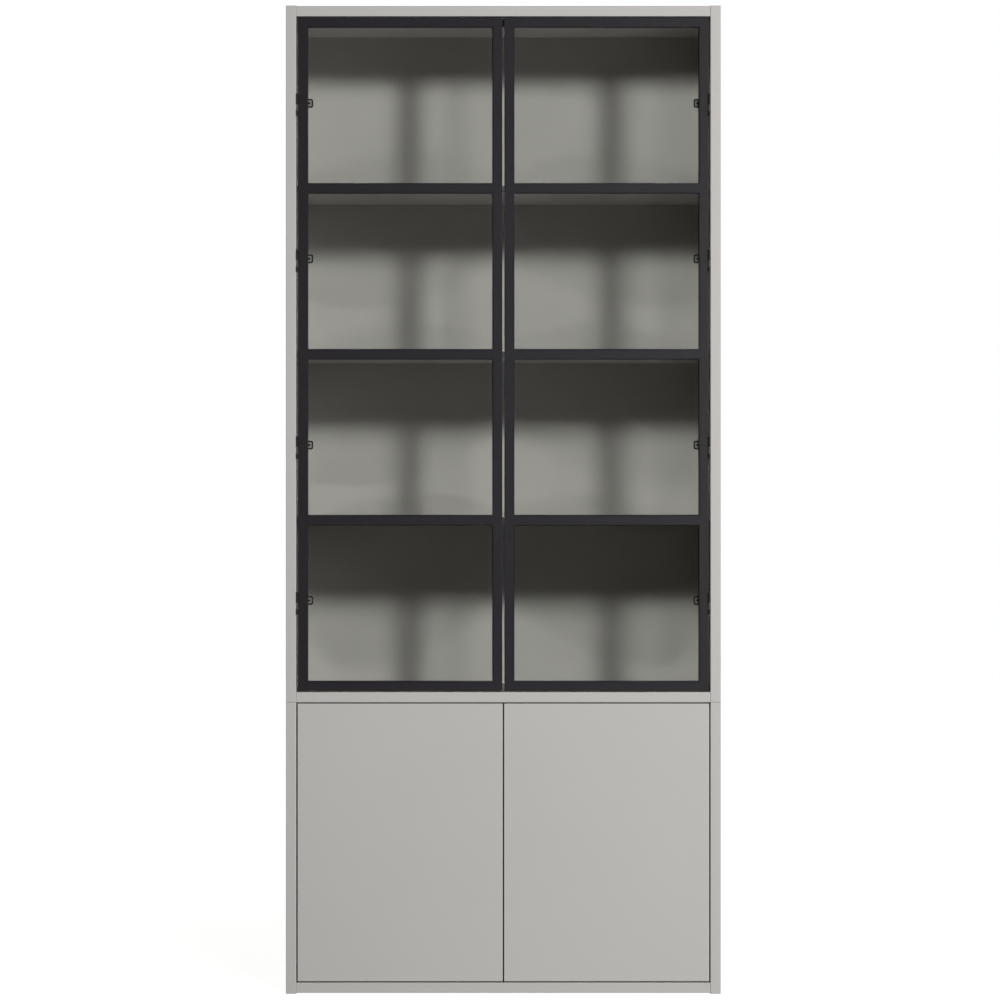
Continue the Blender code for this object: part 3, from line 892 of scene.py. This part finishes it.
@dataclass(frozen=True)
class Places:
    """Where things are: u from a side's inner face to the middle, v from the front plane inwards."""

    inner_half: float
    front_y: float

    @classmethod
    def read(cls) -> "Places":
        """Read the places from the model's own boards."""
        return cls(-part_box("upper_side_left")[1].x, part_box("middle_board")[0].y)

    def at(self, side: Side, u: float, v: float, z: float) -> Vector:
        """Return the point at u, v and z on a side."""
        return Vector((side.value * (self.inner_half - u), self.front_y + v, z))


@dataclass
class ButtHinge:
    """A butt hinge of a glazed door: two leaves, a pin, and a framed tongue behind the glass."""

    places: Places
    side: Side
    number: int
    edge: float = 0.00025
    tongue_reach: float = 0.0113
    tongue_height: float = 0.019
    tongue_thickness: float = 0.001
    rim: float = 0.0033
    stile_rim: float = 0.0004
    window_radius: float = 0.0014
    insert_thickness: float = 0.0006
    insert_edge: float = 0.0001
    tongue_screw_inset: float = 0.0022
    side_screw_u: float = 0.0013
    side_screws_at: tuple[tuple[float, float], ...] = ((0.0085, 0.005), (0.0085, -0.005), (0.0255, 0.0))
    stile_screw_u: float = 0.0145
    stile_screws_up: tuple[float, float] = (0.009, 0.029)
    edge_screw_v: float = 0.0105
    edge_screws_up: tuple[float, float] = (0.0075, 0.031)

    @property
    def stem(self) -> str:
        """Return the start of the hinge's node names."""
        return f"glass_hinge_{self.side.word}_{self.number}"

    @property
    def door_body(self) -> str:
        """Return the body that the door leaf moves with."""
        return f"glass_door_{self.side.word}"

    def window(self) -> Box:
        """Find the opening inside the tongue's rim.

        Returns:
            Its lowest and highest corner.
        """
        low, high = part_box(f"{self.stem}_door_leaf")
        tip = low.x if self.side is Side.RIGHT else high.x
        root = tip + self.side.value * self.tongue_reach
        floor = (min(tip, root), high.y - self.tongue_thickness, high.z - self.tongue_height)
        inner = Vector((self.rim, 0.0, self.rim))
        low, high = Vector(floor) + inner, Vector((max(tip, root), high.y, high.z)) - inner
        if self.side is Side.LEFT:
            low.x -= self.rim - self.stile_rim
        else:
            high.x += self.rim - self.stile_rim
        return low, high

    def build(self) -> None:
        """Build the two leaves and the tongue's plate, and dress the pin."""
        fixed, turning = f"{self.stem}_cabinet_leaf", f"{self.stem}_door_leaf"
        Workshop.stand_in(fixed, f"{self.stem}_side_leaf", CABINET, HINGE_BLACK, self.edge)
        leaf = Workshop.node_copy(turning, f"{self.stem}_framed_leaf")
        self.cut_window(leaf)
        Workshop.eased(leaf, self.edge)
        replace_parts(Workshop.finish_piece(leaf, self.door_body, HINGE_BLACK), turning)
        self.build_insert()
        Workshop.dress_node(f"{self.stem}_pin", PIN_STEEL)

    def cut_window(self, leaf: Object) -> None:
        """Cut the opening through the tongue of a leaf.

        Args:
            leaf: The door leaf.
        """
        low, high = self.window()
        through = Vector((0.0, 2 * self.tongue_thickness, 0.0))
        cutter = self.rounded_block("tongue_window", low - through, high + through)
        cut = leaf.modifiers.new("window", "BOOLEAN")
        cut.operation = "DIFFERENCE"
        cut.solver = "EXACT"
        cut.object = cutter
        Workshop.settled(leaf)
        bpy.data.objects.remove(cutter)

    def rounded_block(self, name: str, low: Vector, high: Vector) -> Object:
        """Make a block with its edges along Y rounded.

        Args:
            name: The block's name.
            low: The lowest corner.
            high: The highest corner.

        Returns:
            The block.
        """
        bm = bmesh.new()
        for vert in bmesh.ops.create_cube(bm, size=1.0)["verts"]:
            vert.co = Vector(b if c > 0 else a for a, b, c in zip(low, high, vert.co))
        edges = [edge for edge in bm.edges if edge.verts[0].co.y != edge.verts[1].co.y]
        bmesh.ops.bevel(bm, geom=edges, offset=self.window_radius, segments=3, profile=0.5, affect="EDGES")
        return Workshop.from_bmesh(bm, name)

    def build_insert(self) -> None:
        """Build the steel plate that closes the tongue's opening and carries its screw."""
        low, high = self.window()
        middle = (low.y + high.y) / 2
        low.y, high.y = middle - self.insert_thickness / 2, middle + self.insert_thickness / 2
        plate = Workshop.eased(self.rounded_block(f"{self.stem}_insert", low, high), self.insert_edge)
        Workshop.finish_piece(plate, self.door_body, ZINC)

    def side_screws(self) -> list[Spot]:
        """Find the screws that hold the leaf on the side panel.

        Returns:
            Their spots.
        """
        low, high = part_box(f"{self.stem}_cabinet_leaf")
        z, inward = (low.z + high.z) / 2, Vector((-self.side.value, 0.0, 0.0))
        points = [self.places.at(self.side, self.side_screw_u, v, z + up) for v, up in self.side_screws_at]
        return [Spot(point, inward) for point in points]

    def door_screws(self) -> list[Spot]:
        """Find the screws that hold the other leaf on the door: behind the stile, and at its edge.

        Returns:
            Their spots.
        """
        low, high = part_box(f"{self.stem}_door_leaf")
        frame_low, frame_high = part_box(f"glass_door_frame_{self.side.word}")
        gap = self.places.inner_half - max(-frame_low.x, frame_high.x)
        rear, outward = high.y - self.places.front_y, Vector((self.side.value, 0.0, 0.0))
        spots = []
        for up in self.stile_screws_up:
            spots.append(Spot(self.places.at(self.side, self.stile_screw_u, rear, low.z + up), BACKWARD))
        for up in self.edge_screws_up:
            spots.append(Spot(self.places.at(self.side, gap, self.edge_screw_v, low.z + up), outward))
        return spots

    def tongue_screws(self) -> list[Spot]:
        """Find the screw on the tongue's plate, as seen through the glass and from behind.

        Returns:
            Its two ends.
        """
        low, high = self.window()
        root = low.x if self.side is Side.LEFT else high.x
        x, z = root - self.side.value * self.tongue_screw_inset, (low.z + high.z) / 2
        middle, half = (low.y + high.y) / 2, self.insert_thickness / 2
        ends = ((middle - half, FORWARD), (middle + half, BACKWARD))
        return [Spot(Vector((x, y, z)), facing) for y, facing in ends]


@dataclass
class GlazedDoor:
    """A glazed door: welded black frame with bars, one pane, its bead and seals, and four hinges.

    How deep the seals sit and how far they are set in are shares of their radius.
    """

    places: Places
    side: Side
    lights: int = 4
    hinge_count: int = 4
    face: float = 0.020
    bar: float = 0.020
    bar_depth: float = 0.008
    edge: float = 0.0007
    bead_edge: float = 0.0012
    seal_radius: float = 0.0008
    seal_sink: float = 0.75
    seal_inset: float = 1.5
    seal_corner: float = 0.002
    leaf_screw: ScrewSize = ScrewSize(0.0021, 0.0007)
    tongue_screw: ScrewSize = ScrewSize(0.0026, 0.0011, 0.86)
    hinges: list[ButtHinge] = field(default_factory=list)

    @property
    def body(self) -> str:
        """Return the door's body."""
        return f"glass_door_{self.side.word}"

    def build(self) -> None:
        """Build the frame, bead, seals and hinges, and dress the pane."""
        word = self.side.word
        plain, welded = f"glass_door_frame_{word}", f"welded_frame_{word}"
        Workshop.stand_in(plain, welded, self.body, FRAME_BLACK, self.edge)
        Workshop.dress_node(f"glass_pane_{word}", GLASS)
        bead, rounded = f"glazing_bead_{word}", f"rounded_bead_{word}"
        Workshop.stand_in(bead, rounded, self.body, SEAL_BLACK, self.bead_edge, segments=3)
        self.build_seals()
        self.hinges = [ButtHinge(self.places, self.side, count + 1) for count in range(self.hinge_count)]
        for hinge in self.hinges:
            hinge.build()

    def build_seals(self) -> None:
        """Build the thin seals between the bars and the glass."""
        word = self.side.word
        low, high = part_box(f"glass_door_frame_{word}")
        inner = Vector((self.face, 0.0, self.face))
        low, high = low + inner, high - inner
        height = (high.z - low.z - (self.lights - 1) * self.bar) / self.lights
        v = self.bar_depth - self.seal_radius * self.seal_sink
        spots = []
        for count in range(self.lights):
            z = low.z + height / 2 + count * (height + self.bar)
            spots.append(Spot(Vector(((low.x + high.x) / 2, self.places.front_y + v, z)), FORWARD))
        inset = self.seal_radius * self.seal_inset
        values = {
            "Width": high.x - low.x - inset, "Height": height - inset,
            "Corner": self.seal_corner, "Radius": self.seal_radius,
        }
        SealRings().make(f"glazing_seal_{word}", spots, values, SEAL_BLACK, self.body)

    def build_screws(self) -> None:
        """Build the screws of the door's hinges, on the door."""
        word = self.side.word
        leaf = [spot for hinge in self.hinges for spot in hinge.door_screws()]
        self.leaf_screw.make(f"door_leaf_screws_{word}", leaf, HINGE_BLACK, self.body, seed=3)
        tongue = [spot for hinge in self.hinges for spot in hinge.tongue_screws()]
        self.tongue_screw.make(f"tongue_screws_{word}", tongue, SEAL_BLACK, self.body, seed=5)


@dataclass
class CupHinge:
    """A concealed hinge of a flush door: a cup in the door and an arm on the side panel."""

    places: Places
    side: Side
    level: str
    edge: float = 0.0004
    wing: float = 0.0205
    plate_u: float = 0.0023
    plate_screw_back: float = 0.024
    plate_screw_up: float = 0.0145
    arm_u: float = 0.009
    arm_screws_back: tuple[float, float] = (0.012, 0.025)

    @property
    def stem(self) -> str:
        """Return the start of the hinge's node names."""
        return f"cup_hinge_{self.side.word}_{self.level}"

    def build(self) -> None:
        """Build the eased cup and arm."""
        for part, body in (("cup", f"lower_door_{self.side.word}"), ("arm", CABINET)):
            Workshop.stand_in(f"{self.stem}_{part}", f"{self.stem}_plated_{part}", body, STEEL, self.edge)

    def cup_screws(self) -> list[Spot]:
        """Find the screws in the two wings of the flange.

        Returns:
            Their spots.
        """
        low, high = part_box(f"{self.stem}_cup")
        x, z = (low.x + high.x) / 2, (low.z + high.z) / 2
        return [Spot(Vector((x, high.y, z + up)), BACKWARD) for up in (self.wing, -self.wing)]

    def arm_screws(self) -> list[Spot]:
        """Find the plate's wood screws and the arm's adjusting screws.

        Returns:
            Their spots.
        """
        low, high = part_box(f"{self.stem}_arm")
        inward = Vector((-self.side.value, 0.0, 0.0))
        z, rear = (low.z + high.z) / 2, high.y - self.places.front_y
        rows = [(self.plate_u, self.plate_screw_back, sign * self.plate_screw_up) for sign in (1, -1)]
        rows += [(self.arm_u, back, 0.0) for back in self.arm_screws_back]
        return [Spot(self.places.at(self.side, u, rear - back, z + up), inward) for u, back, up in rows]


@dataclass
class FlushDoor:
    """A flush door of the base with its two concealed hinges."""

    places: Places
    side: Side
    cup_screw: ScrewSize = ScrewSize(0.0034, 0.0011)
    hinges: list[CupHinge] = field(default_factory=list)

    @property
    def body(self) -> str:
        """Return the door's body."""
        return f"lower_door_{self.side.word}"

    def build(self) -> None:
        """Dress the panel and build the hinges and the screws in their cups."""
        panel = f"lower_door_panel_{self.side.word}"
        Workshop.dress_node(panel, DOOR_GREY, panel)
        self.hinges = [CupHinge(self.places, self.side, level) for level in ("top", "bottom")]
        for hinge in self.hinges:
            hinge.build()
        spots = [spot for hinge in self.hinges for spot in hinge.cup_screws()]
        self.cup_screw.make(f"cup_screws_{self.side.word}", spots, STEEL, self.body, seed=7)


@dataclass
class PushLatch:
    """A twin push latch under a board, with one plunger for each door."""

    level: Level
    edge: float = 0.0012
    plunger_edge: float = 0.0005
    front_screw_shift: float = 0.004
    rear_screw_inset: float = 0.006

    def build(self) -> None:
        """Build the eased housing and plungers."""
        word = self.level.value
        housing, case = f"{word}_latch_housing", f"{word}_latch_case"
        Workshop.stand_in(housing, case, CABINET, LATCH_GREY, self.edge, segments=3)
        for side in Side:
            node, name = f"{word}_latch_plunger_{side.word}", f"{word}_plunger_{side.word}"
            Workshop.stand_in(node, name, f"{node}_body", PLUNGER_GREY, self.plunger_edge)

    def screws(self) -> list[Spot]:
        """Find the screws that hold the housing to its board.

        Returns:
            Their spots.
        """
        low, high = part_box(f"{self.level.value}_latch_housing")
        rows = ((low.y + high.y) / 2 + self.front_screw_shift, high.y - self.rear_screw_inset)
        return [Spot(Vector(((low.x + high.x) / 2, y, low.z)), DOWNWARD) for y in rows]


@dataclass
class Carcass:
    """The boards of the two carcasses, and the fasteners of their back panels."""

    lacquered: tuple[str, ...] = (
        "upper_side_left", "upper_side_right", "top_board", "middle_board", "shelf_upper", "shelf_middle",
        "shelf_lower", "lower_side_left", "lower_side_right", "base_top_panel", "bottom_board", "base_shelf",
    )
    backs: tuple[str, ...] = ("upper_back_panel", "lower_back_panel")
    fastener: ScrewSize = ScrewSize(0.0028, 0.0009)
    fastener_pitch: float = 0.145
    fastener_inset: float = 0.0045

    def build(self) -> None:
        """Dress the boards and build the back panels' fasteners."""
        for node in self.lacquered:
            Workshop.dress_node(node, GREY, node)
        for node in self.backs:
            Workshop.dress_node(node, BACK)
        spots = [spot for node in self.backs for spot in self.fasteners(node)]
        self.fastener.make("back_panel_screws", spots, STEEL, CABINET, seed=11)

    def fasteners(self, node: str) -> list[Spot]:
        """Find the fasteners round a back panel's edge.

        Args:
            node: The back panel's node.

        Returns:
            The spots on the panel's rear face.
        """
        low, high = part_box(node)
        inset = self.fastener_inset
        left, right = low.x + inset, high.x - inset
        bottom, top = low.z + 2 * inset, high.z - 2 * inset
        points = []
        for x in self.steps(left, right):
            points += [(x, bottom), (x, top)]
        for z in self.steps(bottom, top)[1:-1]:
            points += [(left, z), (right, z)]
        return [Spot(Vector((x, high.y, z)), BACKWARD) for x, z in points]

    def steps(self, start: float, end: float) -> list[float]:
        """Return even places from start to end, about a pitch apart."""
        count = max(2, round((end - start) / self.fastener_pitch))
        return [start + (end - start) * step / count for step in range(count + 1)]


# The studio


INSIDE = (
    "upper_back_panel", "glass_pane_left", "glass_pane_right", "shelf_lower", "shelf_middle", "shelf_upper",
)


class Reach(Enum):
    """What a lamp lights: all but the inside, only the inside behind the glass, or all but the floor."""

    FRONT = "front"
    INSIDE = "inside"
    BACK = "back"


@dataclass(frozen=True)
class SoftBox:
    """A soft rectangular lamp that is aimed at a point."""

    name: str
    reach: Reach
    place: Point
    aim: Point
    size: tuple[float, float]
    watts: float
    fan: float = 180.0

    def hang(self) -> Object:
        """Make the lamp and hang it; a back lamp leaves no glare on the top, and no lamp is seen itself.

        Returns:
            The lamp.
        """
        data = bpy.data.lights.new(self.name, "AREA")
        data.shape = "RECTANGLE"
        data.size, data.size_y = self.size
        data.energy = self.watts
        data.spread = math.radians(self.fan)
        lamp = bpy.data.objects.new(self.name, data)
        lamp.location = self.place
        lamp.rotation_euler = (Vector(self.aim) - Vector(self.place)).to_track_quat("-Z", "Y").to_euler()
        lamp.visible_camera = False
        lamp.visible_glossy = self.reach is not Reach.BACK
        bpy.context.scene.collection.objects.link(lamp)
        return lamp


@dataclass(frozen=True)
class Grid:
    """How the lamps with grids stand: each lights one row of one half, from before the other half."""

    away: float = 0.35
    height: float = 2.96
    run: float = 4.0
    lift: float = 0.045
    margin: float = 0.06
    watts: float = 0.382
    gain: float = 0.015
    fan: float = 10.5
    slants: tuple[float, float] = (0.575, 0.66)


@dataclass
class Studio:
    """The plain studio: pale floor, dark drape, soft lamps, white surroundings and the photo's camera."""

    places: Places
    ambient: float = 0.07
    ambient_colour: Colour = (1.0, 0.95, 0.89)
    floor_colour: Colour = (0.37, 0.36, 0.345)
    floor_glow: float = 0.94
    floor_half: float = 14.0
    floor_drop: float = 0.0004
    glow_run: tuple[float, float] = (0.6, 2.6)
    matt: float = 0.9
    drape_colour: Colour = (0.02, 0.02, 0.02)
    drape_half: float = 11.0
    drape_height: float = 9.0
    drape_lift: float = 0.001
    drape_behind: float = 2.0
    drape_before: float = 2.5
    distance: float = 8.1
    eye_height: float = 1.0493
    eye_x: float = -0.0071
    frame_width: float = 2.1245
    sensor: float = 36.0
    rows: int = 4
    bar: float = 0.020
    grid: Grid = Grid()
    lamps: tuple[SoftBox, ...] = (
        SoftBox("front_lamp", Reach.FRONT, (2.3, -5.6, 1.75), (0.0, -0.2, 1.0), (3.0, 2.3), 362.0),
        SoftBox("inside_right_lamp", Reach.INSIDE, (1.15, -4.19, 2.96), (0.0, -0.1, -2.0), (0.5, 0.7), 38.0),
        SoftBox("inside_middle_lamp", Reach.INSIDE, (0.0, -4.19, 2.96), (0.0, -0.1, -2.0), (0.5, 0.7), 20.0),
        SoftBox("back_lamp", Reach.BACK, (-2.4, 4.6, 3.4), (0.0, 0.1, 1.0), (1.5, 1.5), 480.0),
    )

    def build(self) -> None:
        """Make the world, floor, dark drape, lamps and camera."""
        self.light_world()
        floor = self.lay_floor()
        self.hang_drape()
        inside = [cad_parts[node] for node in INSIDE]
        lit = {Reach.FRONT: (inside, False), Reach.INSIDE: (inside, True), Reach.BACK: ([floor], False)}
        for softbox in (*self.lamps, *self.gridded()):
            lamp = softbox.hang()
            members, include = lit[softbox.reach]
            lamp.light_linking.receiver_collection = self.linked(f"{lamp.name}_lights", members, include)
        self.set_camera()
        bpy.context.scene.view_settings.view_transform = "Standard"

    @staticmethod
    def linked(name: str, objects: Sequence[Object], include: bool) -> bpy.types.Collection:
        """Make a collection for a lamp's light linking.

        Args:
            name: The collection's name.
            objects: Its members.
            include: Whether only the members count, or all but the members.

        Returns:
            The collection.
        """
        collection = bpy.data.collections.new(name)
        for obj in objects:
            collection.objects.link(obj)
        for member in collection.collection_objects:
            member.light_linking.link_state = "INCLUDE" if include else "EXCLUDE"
        return collection

    def gridded(self) -> list[SoftBox]:
        """Plan the lamps with grids that light the inside, one for each row of lights on either side.

        Returns:
            The lamps.
        """
        grid, front = self.grid, self.places.front_y
        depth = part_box("upper_back_panel")[0].y - front
        low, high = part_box("glass_door_frame_left")
        pitch = (high.z - low.z - self.bar) / self.rows
        wide = self.places.inner_half + grid.margin
        lamps = []
        for side, slant in zip(Side, grid.slants):
            for row in range(self.rows):
                top = low.z + self.bar / 2 + pitch * (row + 1)
                fall = (grid.height - top) / grid.run
                way = Vector((side.value * slant, 1.0, -fall))
                x, z = side.value * (wide / 2 - depth * slant), top - pitch / 2 + grid.lift
                centre = Vector((x, front, z))
                width = wide / math.hypot(1.0, slant)
                tall = pitch / math.hypot(1.0, fall)
                place = centre - way * grid.away
                watts = grid.watts * (1.0 + grid.gain * (self.rows - 1 - row))
                name = f"grid_lamp_{side.word}_{row + 1}"
                lamps.append(SoftBox(name, Reach.INSIDE, place, centre, (width, tall), watts, grid.fan))
        return lamps

    def light_world(self) -> None:
        """Make white surroundings that light the cabinet only a little."""
        world = bpy.data.worlds.new("studio_world")
        bpy.context.scene.world = world
        world.use_nodes = True
        sheet = NodeSheet(world.node_tree)
        background = world.node_tree.nodes["Background"].inputs
        seen = self.seen(sheet)
        sheet.feed(background["Color"], sheet.tint(seen, (*self.ambient_colour, 1.0), WHITE))
        sheet.feed(background["Strength"], sheet.spread(seen, self.ambient, 1.0))

    @staticmethod
    def seen(sheet: NodeSheet) -> Socket:
        """Return a mask of the rays that see the surroundings straight, in a mirror or through glass.

        Args:
            sheet: The material's or world's tree.

        Returns:
            1 for such a ray, and 0 for one that has lit a matt surface.
        """
        path = sheet.add("ShaderNodeLightPath").outputs
        seen = sheet.math("MAXIMUM", path["Is Camera Ray"], path["Is Glossy Ray"])
        seen = sheet.math("MAXIMUM", seen, path["Is Transmission Ray"])
        inner = sheet.math("MULTIPLY", path["Is Transmission Ray"], path["Glossy Depth"])
        spent = sheet.math("ADD", path["Diffuse Depth"], inner)
        return sheet.math("MULTIPLY", seen, sheet.math("LESS_THAN", spent, 0.5))

    def stage_piece(self, name: str, corners: Sequence[Vector], faces: Sequence[Sequence[int]],
                    colour: Colour) -> Object:
        """Make a plain matt object of the stage.

        Args:
            name: Its name.
            corners: Its corners.
            faces: The corners of each face.
            colour: Its colour.

        Returns:
            The object.
        """
        mesh = bpy.data.meshes.new(name)
        mesh.from_pydata(corners, [], faces)
        material = bpy.data.materials.new(name)
        material.use_nodes = True
        shader = material.node_tree.nodes["Principled BSDF"]
        shader.inputs["Base Color"].default_value = (*colour, 1.0)
        shader.inputs["Roughness"].default_value = self.matt
        shader.inputs["Specular IOR Level"].default_value = 0.0
        mesh.materials.append(material)
        obj = Workshop.shown(name, mesh)
        return obj

    def lay_floor(self) -> Object:
        """Lay the pale floor, which looks white but keeps the cabinet's shadow.

        Returns:
            The floor.
        """
        half, z = self.floor_half, -self.floor_drop
        corners = [Vector((x * half, y * half, z)) for x, y in ((-1, -1), (1, -1), (1, 1), (-1, 1))]
        floor = self.stage_piece("studio_floor", corners, [(0, 1, 2, 3)], self.floor_colour)
        tree = floor.data.materials[0].node_tree
        sheet = NodeSheet(tree)
        shader = tree.nodes["Principled BSDF"]
        shader.inputs["Emission Color"].default_value = WHITE
        place = sheet.add("ShaderNodeTexCoord").outputs["Object"]
        away = sheet.add("ShaderNodeVectorMath", {0: place}, operation="LENGTH").outputs["Value"]
        near, far = self.glow_run
        ramp = {"Value": away, "From Min": near, "From Max": far, "To Min": self.floor_glow, "To Max": 1.0}
        glow = sheet.add("ShaderNodeMapRange", ramp).outputs[0]
        sheet.feed(shader.inputs["Emission Strength"], sheet.math("MULTIPLY", self.seen(sheet), glow))
        return floor

    def hang_drape(self) -> None:
        """Hang the dark drape behind the camera and over the floor before it, which only reflections see."""
        front, lift, half = self.places.front_y, self.drape_lift, self.drape_half
        rear, fore = front - self.distance - self.drape_behind, front - self.drape_before
        ends = ((rear, self.drape_height), (rear, lift), (fore, lift))
        corners = [Vector((x, y, z)) for y, z in ends for x in (-half, half)]
        drape = self.stage_piece("dark_drape", corners, [(0, 1, 3, 2), (2, 3, 5, 4)], self.drape_colour)
        drape.visible_camera = False
        drape.visible_diffuse = False
        drape.visible_transmission = False
        drape.visible_shadow = False

    def set_camera(self) -> None:
        """Set the level camera, straight on and far away."""
        data = bpy.data.cameras.new("photo_camera")
        data.sensor_width = self.sensor
        data.lens = data.sensor_width * self.distance / self.frame_width
        camera = bpy.data.objects.new("photo_camera", data)
        camera.location = (self.eye_x, self.places.front_y - self.distance, self.eye_height)
        camera.rotation_euler = (math.pi / 2, 0.0, 0.0)
        bpy.context.scene.collection.objects.link(camera)
        bpy.context.scene.camera = camera


SIDE_LEAF_SCREW = ScrewSize(0.0021, 0.0005)
FITTING_SCREW = ScrewSize(0.0032, 0.0011)


def main() -> None:
    """Build the cabinet's looks in order and light them."""
    logging.basicConfig(level=logging.INFO, format="%(message)s")
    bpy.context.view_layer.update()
    places = Places.read()
    Carcass().build()
    glazed = [GlazedDoor(places, side) for side in Side]
    flush = [FlushDoor(places, side) for side in Side]
    latches = [PushLatch(level) for level in Level]
    for part in (*glazed, *flush, *latches):
        part.build()
    for door in glazed:
        door.build_screws()
    side_screws = [spot for door in glazed for hinge in door.hinges for spot in hinge.side_screws()]
    SIDE_LEAF_SCREW.make("side_leaf_screws", side_screws, HINGE_BLACK, CABINET, seed=13)
    fitting_screws = [spot for door in flush for hinge in door.hinges for spot in hinge.arm_screws()]
    fitting_screws += [spot for latch in latches for spot in latch.screws()]
    FITTING_SCREW.make("fitting_screws", fitting_screws, STEEL, CABINET, seed=17)
    Studio(places).build()


if __name__ == "__main__":
    main()
